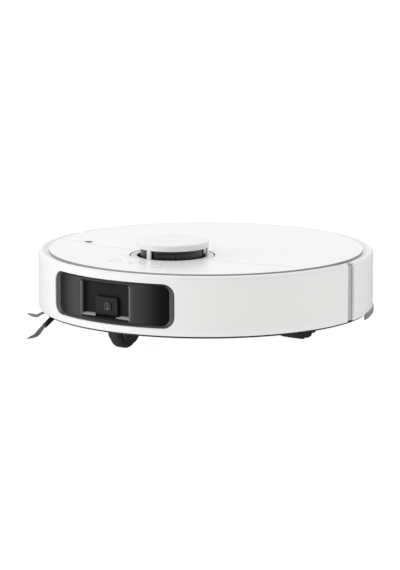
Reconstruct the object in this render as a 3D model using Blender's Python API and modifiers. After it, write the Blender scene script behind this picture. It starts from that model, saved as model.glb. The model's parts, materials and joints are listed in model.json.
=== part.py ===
"""Robot vacuum cleaner: a round 350 mm body with a lidar turret, front window, bumper and side brush.

Every number below is in millimetres, and every height is above the floor that the robot stands on.
The scene itself is in metres, +Z up. Its origin is on the body's vertical axis, on the flat
underside of the chassis, 12 mm above the floor. The front is -Y and the robot's own left is +X.
An azimuth is counted from the front towards the robot's left, so +X is at 90 degrees.
"""
import math

import bmesh
import bpy
from mathutils import Matrix, Vector

MM = 0.001
MERGE = 0.00001          # metres: closer points than this become one
GAP = 0.3                # between pieces that fit together
BODY_STEPS = 48          # facets around the whole body

# Body
BODY_R = 175.0
UNDERSIDE = 12.0
WALL = 2.2
WALL_FOOT = 22.5
SHOULDER_TOP = 82.6
LIP_R = 160.5
BUMPER_END = 90.3        # azimuth of each end of the bumper
REAR_START = 94.2        # azimuth where the rear shell begins
STRIP_R = 171.8

# Chassis pan
FLANGE_R = 172.3
FLANGE_LOW, FLANGE_HIGH = 20.5, 22.0
FLAT_R = 120.0
PAN_WALL_R = 167.0
PAN_WALL_TOP = 34.0
PAN_THICK = 2.5
WINDOW_CLEARANCE = 1.1   # from the lowered pan wall up to the window, which moves in with the bumper
SKIRT_START = 105.0      # azimuth where the rear skirt begins
SKIRT_LOW, SKIRT_HIGH = 17.2, 24.0
SKIRT_R = 176.0

# Top plates
PLATE_R = 164.0
PLATE_LOW, PLATE_TOP = 80.9, 83.0
SEAM_GAP = 0.5
SEAM_MIDDLE, SEAM_SIDE, SEAM_RIM = -59.5, -48.5, -48.1
JOG_INNER, JOG_OUTER = 97.0, 124.0
TRAY_LOW, TRAY_HIGH, TRAY_R = 74.8, 76.8, 157.0

# Front window
WINDOW_HALF, WINDOW_LOW, WINDOW_HIGH, WINDOW_CORNER = 74.4, 29.7, 74.2, 11.5
FRAME_SIDE, FRAME_EDGE = 6.4, 2.0
FRAME_FACE_R, PANEL_FACE_R = 173.6, 171.4
BAY_HALF, BAY_LOW, BAY_HIGH, BAY_CORNER = 32.2, 32.8, 70.4, 4.0
BAY_X, BAY_WALL, BAY_BACK = -3.2, 1.5, -161.0
MODULE_X, LENS_X, LENS_HEIGHT = -3.5, -1.2, 45.6

# Turret
TURRET_Y = -59.4
TURRET_HOLE_R = 43.85
COVER_R = 37.5
COVER_TOP, COVER_EDGE = 99.3, 91.8
FLANGE_INNER, FLANGE_OUTER = 36.2, 42.7   # the cover's foot, flush with the plates
FLANGE_FOOT, FLANGE_FACE = 80.9, 82.9
POST_AZIMUTH = -4.5
HEAD_R, DRUM_R = 33.0, 30.0
LENS_AZIMUTH, LENS_HALF = 24.0, 10.0
PULLEY_R, PULLEY_X = 5.0, -60.0
BELT_LOW, BELT_HIGH, BELT_THICK = 64.8, 68.0, 1.2

# Buttons
BUTTON_PITCH, BUTTON_Y, BUTTON_R = 25.0, -123.0, 5.5

# Drive wheels
WHEEL_X, WHEEL_R, WHEEL_WIDTH = 115.0, 37.0, 22.0
HUB_R = 29.5
PIVOT_Y, PIVOT_HEIGHT = 48.0, 42.0
ARM_X, ARM_THICK = 100.1, 3.0
LUGS, LUG_DEPTH = 18, 1.6

# Caster
SWIVEL_Y, CASTER_Y = -135.0, -142.0
CASTER_R, CASTER_HALF = 17.5, 7.0
SOCKET_R = 27.5

# Main brush
ROLLER_Y, ROLLER_HEIGHT, ROLLER_R, ROLLER_HALF = -39.0, 21.7, 18.0, 86.0
TUNNEL_R, TUNNEL_WALL, TUNNEL_HALF = 21.0, 2.5, 89.0
GUARD_HALF, GUARD_FRONT, GUARD_BACK = 95.6, -70.5, -7.5
LATCH_X, LATCH_Y = 59.0, -66.8

# Side brush
HUB_X, HUB_Y = -114.6, -94.6
STEM_REACH, BRISTLE_REACH = 42.0, 79.2
STEM_END, STEM_SLOPE = 8.2, 18.3         # height of a stem's end, and degrees below the horizontal
FIRST_ARM = -9.4         # from the front towards the robot's right
BOWL_R, BOWL_ROOF_R, BOWL_ROOF = 37.0, 11.0, 21.3
BOWL_THICK = 2.0

# Dust box, fan and battery
BOX_HALF, BOX_FRONT, BOX_BACK, BOX_LOW = 62.0, 4.0, 78.0, 20.0
BOX_WALL = 1.6
FAN_X, FAN_Y, FAN_R = 58.0, 112.0, 33.0
VENT_AZIMUTH, VENT_COUNT, VENT_PITCH, VENT_FIRST = 131.0, 7, 4.4, 28.2
PACK_LEFT, PACK_RIGHT, PACK_FRONT, PACK_BACK = 34.0, 104.0, -118.0, -76.0

FINISHES = {
    "shell_white": ((0.86, 0.86, 0.85), 0.34, 0.0),
    "gloss_white": ((0.90, 0.90, 0.90), 0.12, 0.0),
    "trim_grey": ((0.62, 0.62, 0.62), 0.42, 0.0),
    "inner_grey": ((0.30, 0.31, 0.32), 0.50, 0.0),
    "black_plastic": ((0.022, 0.022, 0.024), 0.38, 0.0),
    "window_black": ((0.006, 0.006, 0.007), 0.08, 0.0),
    "tyre_rubber": ((0.02, 0.02, 0.02), 0.75, 0.0),
    "brush_rubber": ((0.035, 0.036, 0.04), 0.60, 0.0),
    "bristle_grey": ((0.16, 0.17, 0.18), 0.55, 0.0),
    "smoke_clear": ((0.16, 0.17, 0.18), 0.10, 0.0),
    "filter_white": ((0.80, 0.80, 0.76), 0.85, 0.0),
    "board_green": ((0.02, 0.12, 0.06), 0.45, 0.0),
    "battery_wrap": ((0.05, 0.10, 0.22), 0.40, 0.0),
    "motor_steel": ((0.50, 0.50, 0.50), 0.32, 1.0),
    "contact_steel": ((0.68, 0.66, 0.60), 0.25, 1.0),
}


# ---------------------------------------------------------------- helpers

def clear_scene():
    for item in list(bpy.data.objects):
        bpy.data.objects.remove(item, do_unlink=True)


def collection(name):
    found = bpy.data.collections.get(name) or bpy.data.collections.new(name)
    if name not in bpy.context.scene.collection.children:
        bpy.context.scene.collection.children.link(found)
    return found


def finish_material(name):
    found = bpy.data.materials.get(name)
    if found:
        return found
    colour, roughness, metallic = FINISHES[name]
    made = bpy.data.materials.new(name)
    made.use_nodes = True
    shader = made.node_tree.nodes["Principled BSDF"]
    shader.inputs["Base Color"].default_value = (*colour, 1.0)
    shader.inputs["Roughness"].default_value = roughness
    shader.inputs["Metallic"].default_value = metallic
    return made


def place(x, y, height):
    """A point of the scene, in metres, from millimetres and a height above the floor."""
    return Vector((x, y, height - UNDERSIDE)) * MM


def around(azimuth, radius, centre=(0.0, 0.0)):
    """The point at an azimuth and a radius, in plan."""
    a = math.radians(azimuth)
    return centre[0] + radius * math.sin(a), centre[1] - radius * math.cos(a)


def add_part(name, mesh, finish, location, rotation=None):
    part = bpy.data.objects.new(name, mesh)
    collection("robot_vacuum").objects.link(part)
    part.location = location
    if rotation:
        part.rotation_euler = rotation.to_euler()
    mesh.materials.clear()
    mesh.materials.append(finish_material(finish))
    return part


def mesh_from(build):
    mesh = bpy.data.meshes.new("mesh")
    bm = bmesh.new()
    build(bm)
    bm.to_mesh(mesh)
    bm.free()
    return mesh


def facing(axis):
    """The rotation that turns a piece's own Z towards an axis, with its X and Y as a drawing has them."""
    turns = {
        "Z": Matrix.Identity(3),
        "X": Matrix(((0, 0, 1), (1, 0, 0), (0, 1, 0))),
        "-X": Matrix(((0, 0, -1), (1, 0, 0), (0, -1, 0))),
        "-Y": Matrix(((1, 0, 0), (0, 0, -1), (0, 1, 0))),
    }
    return turns[axis]


def smooth(mesh, sharp_degrees=35.0):
    mesh.shade_smooth()
    mesh.set_sharp_from_angle(angle=math.radians(sharp_degrees))


def box(name, finish, low, high, bevel=0.0):
    """A box between two corners, (x, y, height) each."""
    size = [(b - a) * MM for a, b in zip(low, high)]
    centre = [(a + b) / 2 for a, b in zip(low, high)]

    def build(bm):
        bmesh.ops.create_cube(bm, size=1.0, matrix=Matrix.Diagonal((*size, 1.0)))

    part = add_part(name, mesh_from(build), finish, place(*centre))
    if bevel:
        soften(part, bevel)
    return part


def soften(part, width, segments=1):
    bevel = part.modifiers.new("rounded_edges", "BEVEL")
    bevel.width = width * MM
    bevel.segments = segments
    bevel.limit_method = "ANGLE"


def rod(name, finish, radius, length, middle, axis="Z", steps=24):
    """A plain cylinder about a middle point, (x, y, height)."""

    def build(bm):
        bmesh.ops.create_cone(bm, cap_ends=True, segments=steps, radius1=radius * MM,
                              radius2=radius * MM, depth=length * MM)

    mesh = mesh_from(build)
    smooth(mesh)
    return add_part(name, mesh, finish, place(*middle), facing(axis))


def profile_mesh(profile, closed):
    def build(bm):
        points = [bm.verts.new((r * MM, 0.0, t * MM)) for r, t in profile]
        pairs = list(zip(points, points[1:]))
        if closed:
            pairs.append((points[-1], points[0]))
        for pair in pairs:
            bm.edges.new(pair)

    return mesh_from(build)


def turned(name, finish, profile, at=(0.0, 0.0, 0.0), axis="Z", steps=BODY_STEPS):
    """A turned solid. The profile is (radius, distance along the axis), down its outer side.

    For an upright piece the distances are heights, so its point lies on the floor.
    """
    on_axis = profile[0][0] == 0.0
    part = add_part(name, profile_mesh(profile, closed=not on_axis), finish, place(*at), facing(axis))
    screw = part.modifiers.new("turn", "SCREW")
    screw.steps = screw.render_steps = steps
    screw.use_merge_vertices = True
    screw.merge_threshold = MERGE
    return part


def sector_shell(name, finish, profile, thickness, start, end, steps):
    """A wall swept around the body between two azimuths, thickened inwards from its outer profile."""
    part = add_part(name, profile_mesh(profile, closed=False), finish, place(0, 0, 0),
                    Matrix.Rotation(math.radians(start - 90.0), 3, "Z"))
    screw = part.modifiers.new("sweep", "SCREW")
    screw.angle = math.radians(end - start)
    screw.steps = screw.render_steps = steps
    solid = part.modifiers.new("wall", "SOLIDIFY")
    solid.thickness = thickness * MM
    solid.offset = -1.0
    solid.use_even_offset = True
    return part


def plate(name, finish, outlines, thickness, middle, axis="Z"):
    """A flat piece from closed outlines; an outline inside another is a hole."""
    curve = bpy.data.curves.new(name, "CURVE")
    curve.dimensions = "2D"
    curve.fill_mode = "BOTH"
    curve.extrude = thickness / 2 * MM
    for outline in outlines:
        spline = curve.splines.new("POLY")
        spline.points.add(len(outline) - 1)
        for point, (u, v) in zip(spline.points, outline):
            point.co = (u * MM, v * MM, 0.0, 1.0)
        spline.use_cyclic_u = True
    return as_mesh(name, finish, curve, place(*middle), facing(axis))


def as_mesh(name, finish, curve, location, rotation=None):
    """The curve's own surface as a mesh object, with its caps welded on."""
    drawn = bpy.data.objects.new(name + "_curve", curve)
    bpy.context.scene.collection.objects.link(drawn)
    drawn.location = location
    if rotation:
        drawn.rotation_euler = rotation.to_euler()
    bpy.context.view_layer.update()
    mesh = bpy.data.meshes.new_from_object(drawn.evaluated_get(bpy.context.evaluated_depsgraph_get()))
    bm = bmesh.new()
    bm.from_mesh(mesh)
    bmesh.ops.remove_doubles(bm, verts=bm.verts, dist=MERGE)
    bmesh.ops.recalc_face_normals(bm, faces=bm.faces)
    bm.to_mesh(mesh)
    bm.free()
    part = add_part(name, mesh, finish, location)
    part.matrix_world = drawn.matrix_world
    bpy.data.objects.remove(drawn, do_unlink=True)
    return part


def boolean(part, tool, operation):
    """Cut, join or intersect a part with a tool, which then stays only as a guide."""
    step = part.modifiers.new(tool.name, "BOOLEAN")
    step.operation = operation
    step.solver = "EXACT"
    step.object = tool
    if tool.name not in collection("cutters").objects:
        collection("robot_vacuum").objects.unlink(tool)
        collection("cutters").objects.link(tool)
        tool.hide_render = True
        tool.display_type = "WIRE"
    return part


def cut(part, *tools):
    for tool in tools:
        boolean(part, tool, "DIFFERENCE")
    return part


def join(part, *tools):
    for tool in tools:
        boolean(part, tool, "UNION")
    return part


def keep_inside(part, tool):
    return boolean(part, tool, "INTERSECT")


def pivot(name, at, pieces):
    """An empty on a joint's axis, which carries the pieces that move on it."""
    empty = bpy.data.objects.new(name, None)
    empty.empty_display_size = 10 * MM
    collection("robot_vacuum").objects.link(empty)
    empty.location = place(*at)
    bpy.context.view_layer.update()
    for piece in pieces:
        piece.parent = empty
        piece.matrix_parent_inverse = empty.matrix_world.inverted()
    return empty


# ---------------------------------------------------------------- outlines

def arc(radius, start, end, steps, centre=(0.0, 0.0)):
    """Points from one azimuth to another."""
    return [around(start + (end - start) * i / steps, radius, centre) for i in range(steps + 1)]


def rounded_rectangle(half_width, low, high, corner, steps=3):
    """A rounded rectangle in the plane of width and height, anticlockwise."""
    points = []
    corners = ((half_width, low, -90), (half_width, high, 0),
               (-half_width, high, 90), (-half_width, low, 180))
    for x, z, start in corners:
        cx = x - math.copysign(corner, x)
        cz = z + corner if z == low else z - corner
        for i in range(steps + 1):
            a = math.radians(start + 90 * i / steps)
            points.append((cx + corner * math.cos(a), cz + corner * math.sin(a)))
    return points


def rectangle(x0, x1, y0, y1):
    return [(x0, y0), (x1, y0), (x1, y1), (x0, y1)]


def capsule(start, start_r, end, end_r, steps=6):
    """The outline around two circles, such as an arm with an eye at each end."""
    along = math.atan2(end[1] - start[1], end[0] - start[0])
    lean = math.acos((start_r - end_r) / math.dist(start, end))
    points = []
    for centre, radius, a0, a1 in ((end, end_r, -lean, lean), (start, start_r, lean, 2 * math.pi - lean)):
        for i in range(steps + 1):
            a = along + a0 + (a1 - a0) * i / steps
            points.append((centre[0] + radius * math.cos(a), centre[1] + radius * math.sin(a)))
    return points


def shoulder_profile():
    """The body's wall from the inner lip over the soft shoulder to the foot."""
    return [(LIP_R, 80.2), (165.8, 80.2), (168.6, 81.6), (171.2, SHOULDER_TOP),
            (173.6, 81.7), (174.7, 80.0), (BODY_R, 77.8), (BODY_R, WALL_FOOT)]


def seam(side_gap):
    """The seam between the two top plates, from the robot's left to its right."""
    steps = 6
    jog = []
    for i in range(steps + 1):
        t = i / steps
        ease = t * t * (3 - 2 * t)
        jog.append((JOG_OUTER + (JOG_INNER - JOG_OUTER) * t, SEAM_SIDE + (SEAM_MIDDLE - SEAM_SIDE) * ease))
    left = [(x, y + side_gap) for x, y in jog]
    return left + [(-x, y) for x, y in reversed(left)]


def plate_outline(front):
    """One top plate's outline: the rim's arc, closed by the seam."""
    gap = -SEAM_GAP / 2 if front else SEAM_GAP / 2
    reach = math.degrees(math.acos(-(SEAM_RIM + gap) / PLATE_R))
    if front:
        rim = arc(PLATE_R, -reach, reach, 20)
    else:
        rim = arc(PLATE_R, -reach, reach - 360, 30)
    return rim + seam(gap)


# ---------------------------------------------------------------- chassis

def pan_blank(name):
    slope = (FLANGE_LOW - UNDERSIDE) / (FLANGE_R - FLAT_R)
    inner_r = PAN_WALL_R - PAN_THICK
    foot = UNDERSIDE + PAN_THICK + slope * (inner_r - FLAT_R)
    profile = [
        (0.0, UNDERSIDE + PAN_THICK), (FLAT_R, UNDERSIDE + PAN_THICK), (inner_r, foot),
        (inner_r, PAN_WALL_TOP), (PAN_WALL_R, PAN_WALL_TOP), (PAN_WALL_R, FLANGE_HIGH),
        (FLANGE_R, FLANGE_HIGH), (FLANGE_R, FLANGE_LOW), (FLAT_R, UNDERSIDE), (0.0, UNDERSIDE),
    ]
    return turned(name, "black_plastic", profile)


def battery_hatch(margin):
    return box("hatch_space", "black_plastic", (PACK_LEFT - margin, PACK_FRONT - margin, 5.0),
               (PACK_RIGHT + margin, PACK_BACK + margin, 32.0))


def bowl_profile(grow):
    """The cone above the side brush, which lets its sloping stems turn; grow is for its outer side."""
    steep = (BOWL_ROOF - UNDERSIDE) / (BOWL_R - BOWL_ROOF_R)
    foot = UNDERSIDE if grow else UNDERSIDE - 4.0
    foot_r = BOWL_R + (grow if grow else 4.0 / steep)
    return [(0.0, BOWL_ROOF + grow), (BOWL_ROOF_R + grow, BOWL_ROOF + grow), (foot_r, foot), (0.0, foot)]


def side_brush_bowl():
    bowl = turned("bowl", "black_plastic", bowl_profile(BOWL_THICK), at=(HUB_X, HUB_Y, 0), steps=28)
    slope = (FLANGE_LOW - UNDERSIDE) / (FLANGE_R - FLAT_R)
    edge = PAN_WALL_R - 1.0
    inside = [(0.0, PAN_WALL_TOP), (edge, PAN_WALL_TOP), (edge, UNDERSIDE + 0.5 + slope * (edge - FLAT_R)),
              (FLAT_R, UNDERSIDE + 0.5), (0.0, UNDERSIDE + 0.5)]
    return keep_inside(bowl, turned("pan_inside", "black_plastic", inside))


def cliff_places():
    return {
        "front_left": around(20.0, 145.0), "front_right": around(-20.0, 145.0),
        "rear_left": around(140.0, 140.0), "rear_right": around(-140.0, 140.0),
    }


def build_chassis():
    chassis = pan_blank("chassis")
    join(chassis, side_brush_bowl())
    cut(chassis, turned("bowl_space", "black_plastic", bowl_profile(0.0), at=(HUB_X, HUB_Y, 0), steps=28))
    for side in (-1, 1):
        well = sorted((side * 96.5, side * 131.0))
        cut(chassis, box("well_space", "black_plastic", (well[0], -42.0, 5.0), (well[1], 45.0, 40.0)))
    cut(chassis, rod("caster_hole", "black_plastic", SOCKET_R + 0.5, 30.0, (0, SWIVEL_Y, 20.0), steps=28))
    cut(chassis, plate("mouth_space", "black_plastic", [guard_outline(0.5)], 15.0, (0, 0, 12.5)))
    cut(chassis, rod("shaft_hole", "black_plastic", 4.0, 30.0, (HUB_X, HUB_Y, 20.0), steps=24))
    cut(chassis, battery_hatch(0.4))
    half, step = WINDOW_HALF + 6.0, WINDOW_LOW - WINDOW_CLEARANCE
    cut(chassis, box("window_space", "black_plastic", (-half, -BODY_R, step),
                     (half, -140.0, PAN_WALL_TOP + 6.0)))
    for x, y in cliff_places().values():
        cut(chassis, rod("cliff_hole", "black_plastic", 6.3, 20.0, (x, y, 17.0), steps=24))

    hatch = pan_blank("battery_cover")
    keep_inside(hatch, battery_hatch(0.0))
    for place_name, (x, y) in cliff_places().items():
        rod("cliff_window_" + place_name, "window_black", 6.0, 1.6, (x, y, 17.6), steps=16)


def build_skirt():
    profile = [(SKIRT_R, SKIRT_HIGH), (SKIRT_R, 18.6), (SKIRT_R - 0.9, SKIRT_LOW)]
    sector_shell("rear_skirt", "inner_grey", profile, 3.0, SKIRT_START, 360 - SKIRT_START, 24)


# ---------------------------------------------------------------- outer shells

def build_rear_shell():
    shell = sector_shell("rear_shell", "shell_white", shoulder_profile(), WALL,
                         REAR_START, 360 - REAR_START, 24)
    under = [(SKIRT_R + 5, SKIRT_HIGH + GAP), (SKIRT_R + 5, SKIRT_LOW)]
    cut(shell, sector_shell("skirt_space", "shell_white", under, 12.0,
                            SKIRT_START - 0.3, 360 - SKIRT_START + 0.3, 24))
    vent_turn = Matrix.Rotation(math.radians(VENT_AZIMUTH), 3, "Z")
    for i in range(VENT_COUNT):
        slot = box("vent_slot", "shell_white", (-30.0, -6.0, 0.0), (30.0, 6.0, 2.4))
        slot.rotation_euler = vent_turn.to_euler()
        x, y = around(VENT_AZIMUTH, BODY_R - 1.5)
        slot.location = place(x, y, VENT_FIRST + i * VENT_PITCH)
        cut(shell, slot)
    for side in (-1, 1):
        x = sorted((side * 9.6, side * 26.4))
        cut(shell, box("contact_slot", "shell_white", (x[0], 160.0, 32.6), (x[1], 180.0, 42.4)))
        x = sorted((side * 10.0, side * 26.0))
        box("contact_left" if side > 0 else "contact_right", "contact_steel",
            (x[0], 169.5, 33.0), (x[1], 173.3, 42.0), bevel=0.5)
    cut(shell, plate("dock_window_hole", "shell_white", [rounded_rectangle(20.0, 52.0, 66.0, 4.0)],
                     20.0, (0, 170.0, 0), "-Y"))
    plate("dock_window", "window_black", [rounded_rectangle(19.7, 52.3, 65.7, 3.7)],
          1.7, (0, 173.1, 0), "-Y")


def build_seam_strips():
    profile = [(166.5, 77.0), (169.3, 77.2), (171.2, 76.2), (STRIP_R, 74.4), (STRIP_R, 23.0)]
    for name, start, end in (("seam_strip_left", 88.6, 95.8), ("seam_strip_right", -95.8, -88.6)):
        sector_shell(name, "trim_grey", profile, 1.8, start, end, 2)


def build_bumper():
    bumper = sector_shell("bumper", "shell_white", shoulder_profile(), WALL, -BUMPER_END, BUMPER_END, 26)
    opening = rounded_rectangle(WINDOW_HALF, WINDOW_LOW, WINDOW_HIGH, WINDOW_CORNER)
    cut(bumper, plate("window_hole", "shell_white", [opening], 40.0, (0, -170.0, 0), "-Y"))
    return bumper


def front_slab(name, finish, face_r, thickness):
    """A curved slab across the window, for cutting to an outline."""
    wall = [(face_r, WINDOW_HIGH + 4), (face_r, WINDOW_LOW - 4)]
    return sector_shell(name, finish, wall, thickness, -30.0, 30.0, 12)


def build_window():
    frame = front_slab("window_frame", "window_black", FRAME_FACE_R, 4.0)
    outer = rounded_rectangle(WINDOW_HALF - 0.35, WINDOW_LOW + 0.35, WINDOW_HIGH - 0.35, WINDOW_CORNER - 0.35)
    inner_half, inner_corner = WINDOW_HALF - FRAME_SIDE, WINDOW_CORNER - 3.5
    inner_low, inner_high = WINDOW_LOW + FRAME_EDGE, WINDOW_HIGH - FRAME_EDGE
    inner = rounded_rectangle(inner_half, inner_low, inner_high, inner_corner)
    keep_inside(frame, plate("frame_shape", "window_black", [outer, inner], 40.0, (0, -170.0, 0), "-Y"))

    panel = front_slab("window_panel", "window_black", PANEL_FACE_R, 2.0)
    edge = rounded_rectangle(inner_half - GAP, inner_low + GAP, inner_high - GAP, inner_corner - GAP)
    hole = [(BAY_X + x, z) for x, z in rounded_rectangle(BAY_HALF, BAY_LOW, BAY_HIGH, BAY_CORNER)]
    keep_inside(panel, plate("panel_shape", "window_black", [edge, hole], 40.0, (0, -170.0, 0), "-Y"))
    return [frame, panel] + build_camera()


def build_camera():
    rim = rounded_rectangle(BAY_HALF - GAP, BAY_LOW + GAP, BAY_HIGH - GAP, BAY_CORNER - GAP)
    bay = plate("camera_bay", "window_black", [rim], 24.0, (BAY_X, BAY_BACK - 12.0, 0), "-Y")
    keep_inside(bay, rod("bay_front", "window_black", PANEL_FACE_R - 0.2, 60.0, (0, 0, 52.0), steps=72))
    pocket = rounded_rectangle(BAY_HALF - GAP - BAY_WALL, BAY_LOW + GAP + BAY_WALL,
                               BAY_HIGH - GAP - BAY_WALL, BAY_CORNER - 1.5)
    cut(bay, plate("bay_pocket", "window_black", [pocket], 24.0,
                   (BAY_X, BAY_BACK - BAY_WALL - 12.0, 0), "-Y"))
    module = box("camera_module", "black_plastic", (MODULE_X - 14.0, -166.0, 36.5),
                 (MODULE_X + 14.0, BAY_BACK - BAY_WALL - GAP, 54.7), bevel=1.2)
    lens = rod("camera_lens", "window_black", 4.2, 1.3, (LENS_X, -166.95, LENS_HEIGHT), "-Y", steps=24)
    return [bay, module, lens]


# ---------------------------------------------------------------- top plates

def build_top():
    thick = PLATE_TOP - PLATE_LOW
    middle = (0, 0, (PLATE_TOP + PLATE_LOW) / 2)
    deck = plate("front_deck", "gloss_white", [plate_outline(front=True)], thick, middle)
    lid = plate("lid", "gloss_white", [plate_outline(front=False)], thick, middle)
    for panel in (deck, lid):
        cut(panel, rod("turret_hole", "gloss_white", TURRET_HOLE_R, 10.0, (0, TURRET_Y, PLATE_LOW), steps=40))
    cut(lid, rod("finger_notch", "gloss_white", 5.0, 10.0, (-120.0, -46.0, PLATE_LOW), steps=16))
    for i in (-1, 0, 1):
        x = i * BUTTON_PITCH
        cut(deck, rod("button_hole", "gloss_white", BUTTON_R + 0.4, 10.0, (x, BUTTON_Y, PLATE_LOW), steps=20))

    tray = rod("inner_tray", "trim_grey", TRAY_R, TRAY_HIGH - TRAY_LOW,
               (0, 0, (TRAY_HIGH + TRAY_LOW) / 2), steps=BODY_STEPS)
    cut(tray, box("tray_front", "trim_grey", (-200.0, -200.0, 60.0), (200.0, -10.0, 90.0)))
    cut(tray, box("box_opening", "trim_grey", (-BOX_HALF - 1, BOX_FRONT - 1, 60.0),
                  (BOX_HALF + 1, BOX_BACK + 1, 90.0)))


def build_buttons():
    profile = [(0.0, PLATE_TOP), (BUTTON_R, PLATE_TOP), (BUTTON_R, 79.6),
               (BUTTON_R + 1.6, 79.6), (BUTTON_R + 1.6, 78.4), (0.0, 78.4)]
    for i, name in zip((-1, 0, 1), ("button_right", "button_middle", "button_left")):
        turned(name, "gloss_white", profile, at=(i * BUTTON_PITCH, BUTTON_Y, 0), steps=20)


# ---------------------------------------------------------------- turret

def build_turret():
    base = [(46.5, 80.4), (46.5, 70.0), (32.0, 70.0), (32.0, 72.0), (35.5, 72.0), (35.5, 79.2),
            (37.6, 79.2), (37.6, 72.0), (44.5, 72.0), (44.5, 80.4)]
    turned("turret_base", "black_plastic", base, at=(0, TURRET_Y, 0), steps=32)

    cap = [(0.0, COVER_TOP), (33.0, 98.8), (36.4, 98.2), (COVER_R, 97.0),
           (COVER_R, COVER_EDGE), (35.8, COVER_EDGE), (35.8, 95.0), (0.0, 95.0)]
    cover = turned("turret_cover", "shell_white", cap, at=(0, TURRET_Y, 0), steps=40)
    foot = [(FLANGE_OUTER, FLANGE_FACE), (FLANGE_OUTER, FLANGE_FOOT), (FLANGE_INNER, FLANGE_FOOT),
            (FLANGE_INNER, FLANGE_FACE)]
    join(cover, turned("cover_foot", "shell_white", foot, at=(0, TURRET_Y, 0), steps=40))
    for i in range(3):
        azimuth = POST_AZIMUTH + 120 * i
        post = box("cover_post", "shell_white", (-2.25, -1.1, 81.6), (2.25, 1.1, 93.2))
        x, y = around(azimuth, 36.0, (0, TURRET_Y))
        post.location = place(x, y, 87.4)
        post.rotation_euler = (0, 0, math.radians(azimuth))
        join(cover, post)


def facing_lens(part, radius, height):
    """Puts a box on the head's lens side, at a radius from its axis."""
    x, y = around(LENS_AZIMUTH, radius, (0, TURRET_Y))
    part.location = place(x, y, height)
    part.rotation_euler = (0, 0, math.radians(LENS_AZIMUTH))
    return part


def build_lidar():
    head = [(0.0, 93.2), (31.6, 93.2), (HEAD_R, 91.8), (HEAD_R, 75.5), (DRUM_R, 74.5),
            (DRUM_R, 64.2), (0.0, 64.2)]
    spinner = turned("lidar_head", "black_plastic", head, at=(0, TURRET_Y, 0), steps=32)
    space = box("lens_flat", "black_plastic", (-LENS_HALF - 1, -5.0, 81.9), (LENS_HALF + 1, 5.0, 89.1))
    cut(spinner, facing_lens(space, 35.6, 85.5))
    lens = facing_lens(box("lidar_lens", "window_black", (-LENS_HALF, -0.65, 82.6), (LENS_HALF, 0.65, 88.4),
                           bevel=0.4), 31.6, 85.5)
    pivot("lidar_axis", (0, TURRET_Y, BELT_LOW), [spinner, lens])

    rod("lidar_motor", "motor_steel", 11.0, 15.5, (PULLEY_X, TURRET_Y, 54.2))
    turned("lidar_pulley", "black_plastic",
           [(0.0, 69.0), (PULLEY_R, 69.0), (PULLEY_R, 63.5), (2.0, 63.5), (2.0, 62.3), (0.0, 62.3)],
           at=(PULLEY_X, TURRET_Y, 0), steps=16)
    clear = 0.35
    loops = [capsule((0, 0), DRUM_R + grow, (PULLEY_X, 0), PULLEY_R + grow, steps=20)
             for grow in (clear + BELT_THICK, clear)]
    plate("lidar_belt", "brush_rubber", loops, BELT_HIGH - BELT_LOW,
          (0, TURRET_Y, (BELT_HIGH + BELT_LOW) / 2))


# ---------------------------------------------------------------- drive wheels

def build_wheel(side, name):
    arm = plate("wheel_arm_" + name, "black_plastic",
                [capsule((0, 0), 12.0, (-PIVOT_Y, WHEEL_R - PIVOT_HEIGHT), 9.0)],
                ARM_THICK, (side * ARM_X, PIVOT_Y, PIVOT_HEIGHT), "X")
    join(arm, rod("wheel_motor", "black_plastic", 13.0, 33.0, (side * 82.6, PIVOT_Y, PIVOT_HEIGHT), "X"))
    join(arm, rod("wheel_stub", "black_plastic", 4.0, 4.0, (side * 102.4, 0, WHEEL_R), "X", 16))

    outward = "X" if side > 0 else "-X"
    centre = (side * WHEEL_X, 0, WHEEL_R)
    face = [(0.0, 6.6), (23.5, 6.6), (25.5, 9.8), (HUB_R, 9.8), (HUB_R, -9.8), (0.0, -9.8)]
    hub = turned("wheel_hub_" + name, "inner_grey", face, at=centre, axis=outward, steps=24)
    bore = arc(HUB_R + 0.6, 0, 345, 23)
    tyre = plate("wheel_tyre_" + name, "tyre_rubber", [tread_outline(), bore], WHEEL_WIDTH, centre, "X")
    pivot("wheel_axle_" + name, centre, [hub, tyre])


def tread_outline():
    """The tyre's edge: one raised lug after another."""
    pitch, root = 360.0 / LUGS, WHEEL_R - LUG_DEPTH
    lug = ((-0.36, root), (-0.24, WHEEL_R), (0.24, WHEEL_R), (0.36, root))
    return [around((i + offset) * pitch, radius) for i in range(LUGS) for offset, radius in lug]


# ---------------------------------------------------------------- caster

def build_caster():
    socket = [(22.5, 43.0), (22.5, 31.9), (SOCKET_R, 31.9), (SOCKET_R, 19.5), (26.0, 19.5), (26.0, 30.4),
              (21.0, 30.4), (21.0, 41.5), (5.5, 41.5), (5.5, 43.0)]
    turned("caster_socket", "black_plastic", socket, at=(0, SWIVEL_Y, 0), steps=28)
    base = [(0.0, 47.0), (5.0, 47.0), (5.0, 39.5), (20.2, 39.5), (20.2, 36.8), (0.0, 36.8)]
    fork = turned("caster_fork", "black_plastic", base, at=(0, SWIVEL_Y, 0), steps=24)
    for side in (-1, 1):
        cheek = capsule((CASTER_Y, CASTER_R), 12.3, (CASTER_Y + 11.0, 27.0), 10.5)
        join(fork, plate("fork_cheek", "black_plastic", [cheek], 3.0, (side * 9.4, 0, 0), "X"))
    join(fork, rod("fork_axle", "black_plastic", 2.0, 20.0, (0, CASTER_Y, CASTER_R), "X", 16))
    tread = [(16.0, CASTER_HALF), (CASTER_R, CASTER_HALF - 1.5), (CASTER_R, 1.5 - CASTER_HALF),
             (16.0, -CASTER_HALF), (2.4, -CASTER_HALF), (2.4, CASTER_HALF)]
    turned("caster_wheel", "tyre_rubber", tread, at=(0, CASTER_Y, CASTER_R), axis="X", steps=28)


# ---------------------------------------------------------------- main brush

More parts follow.
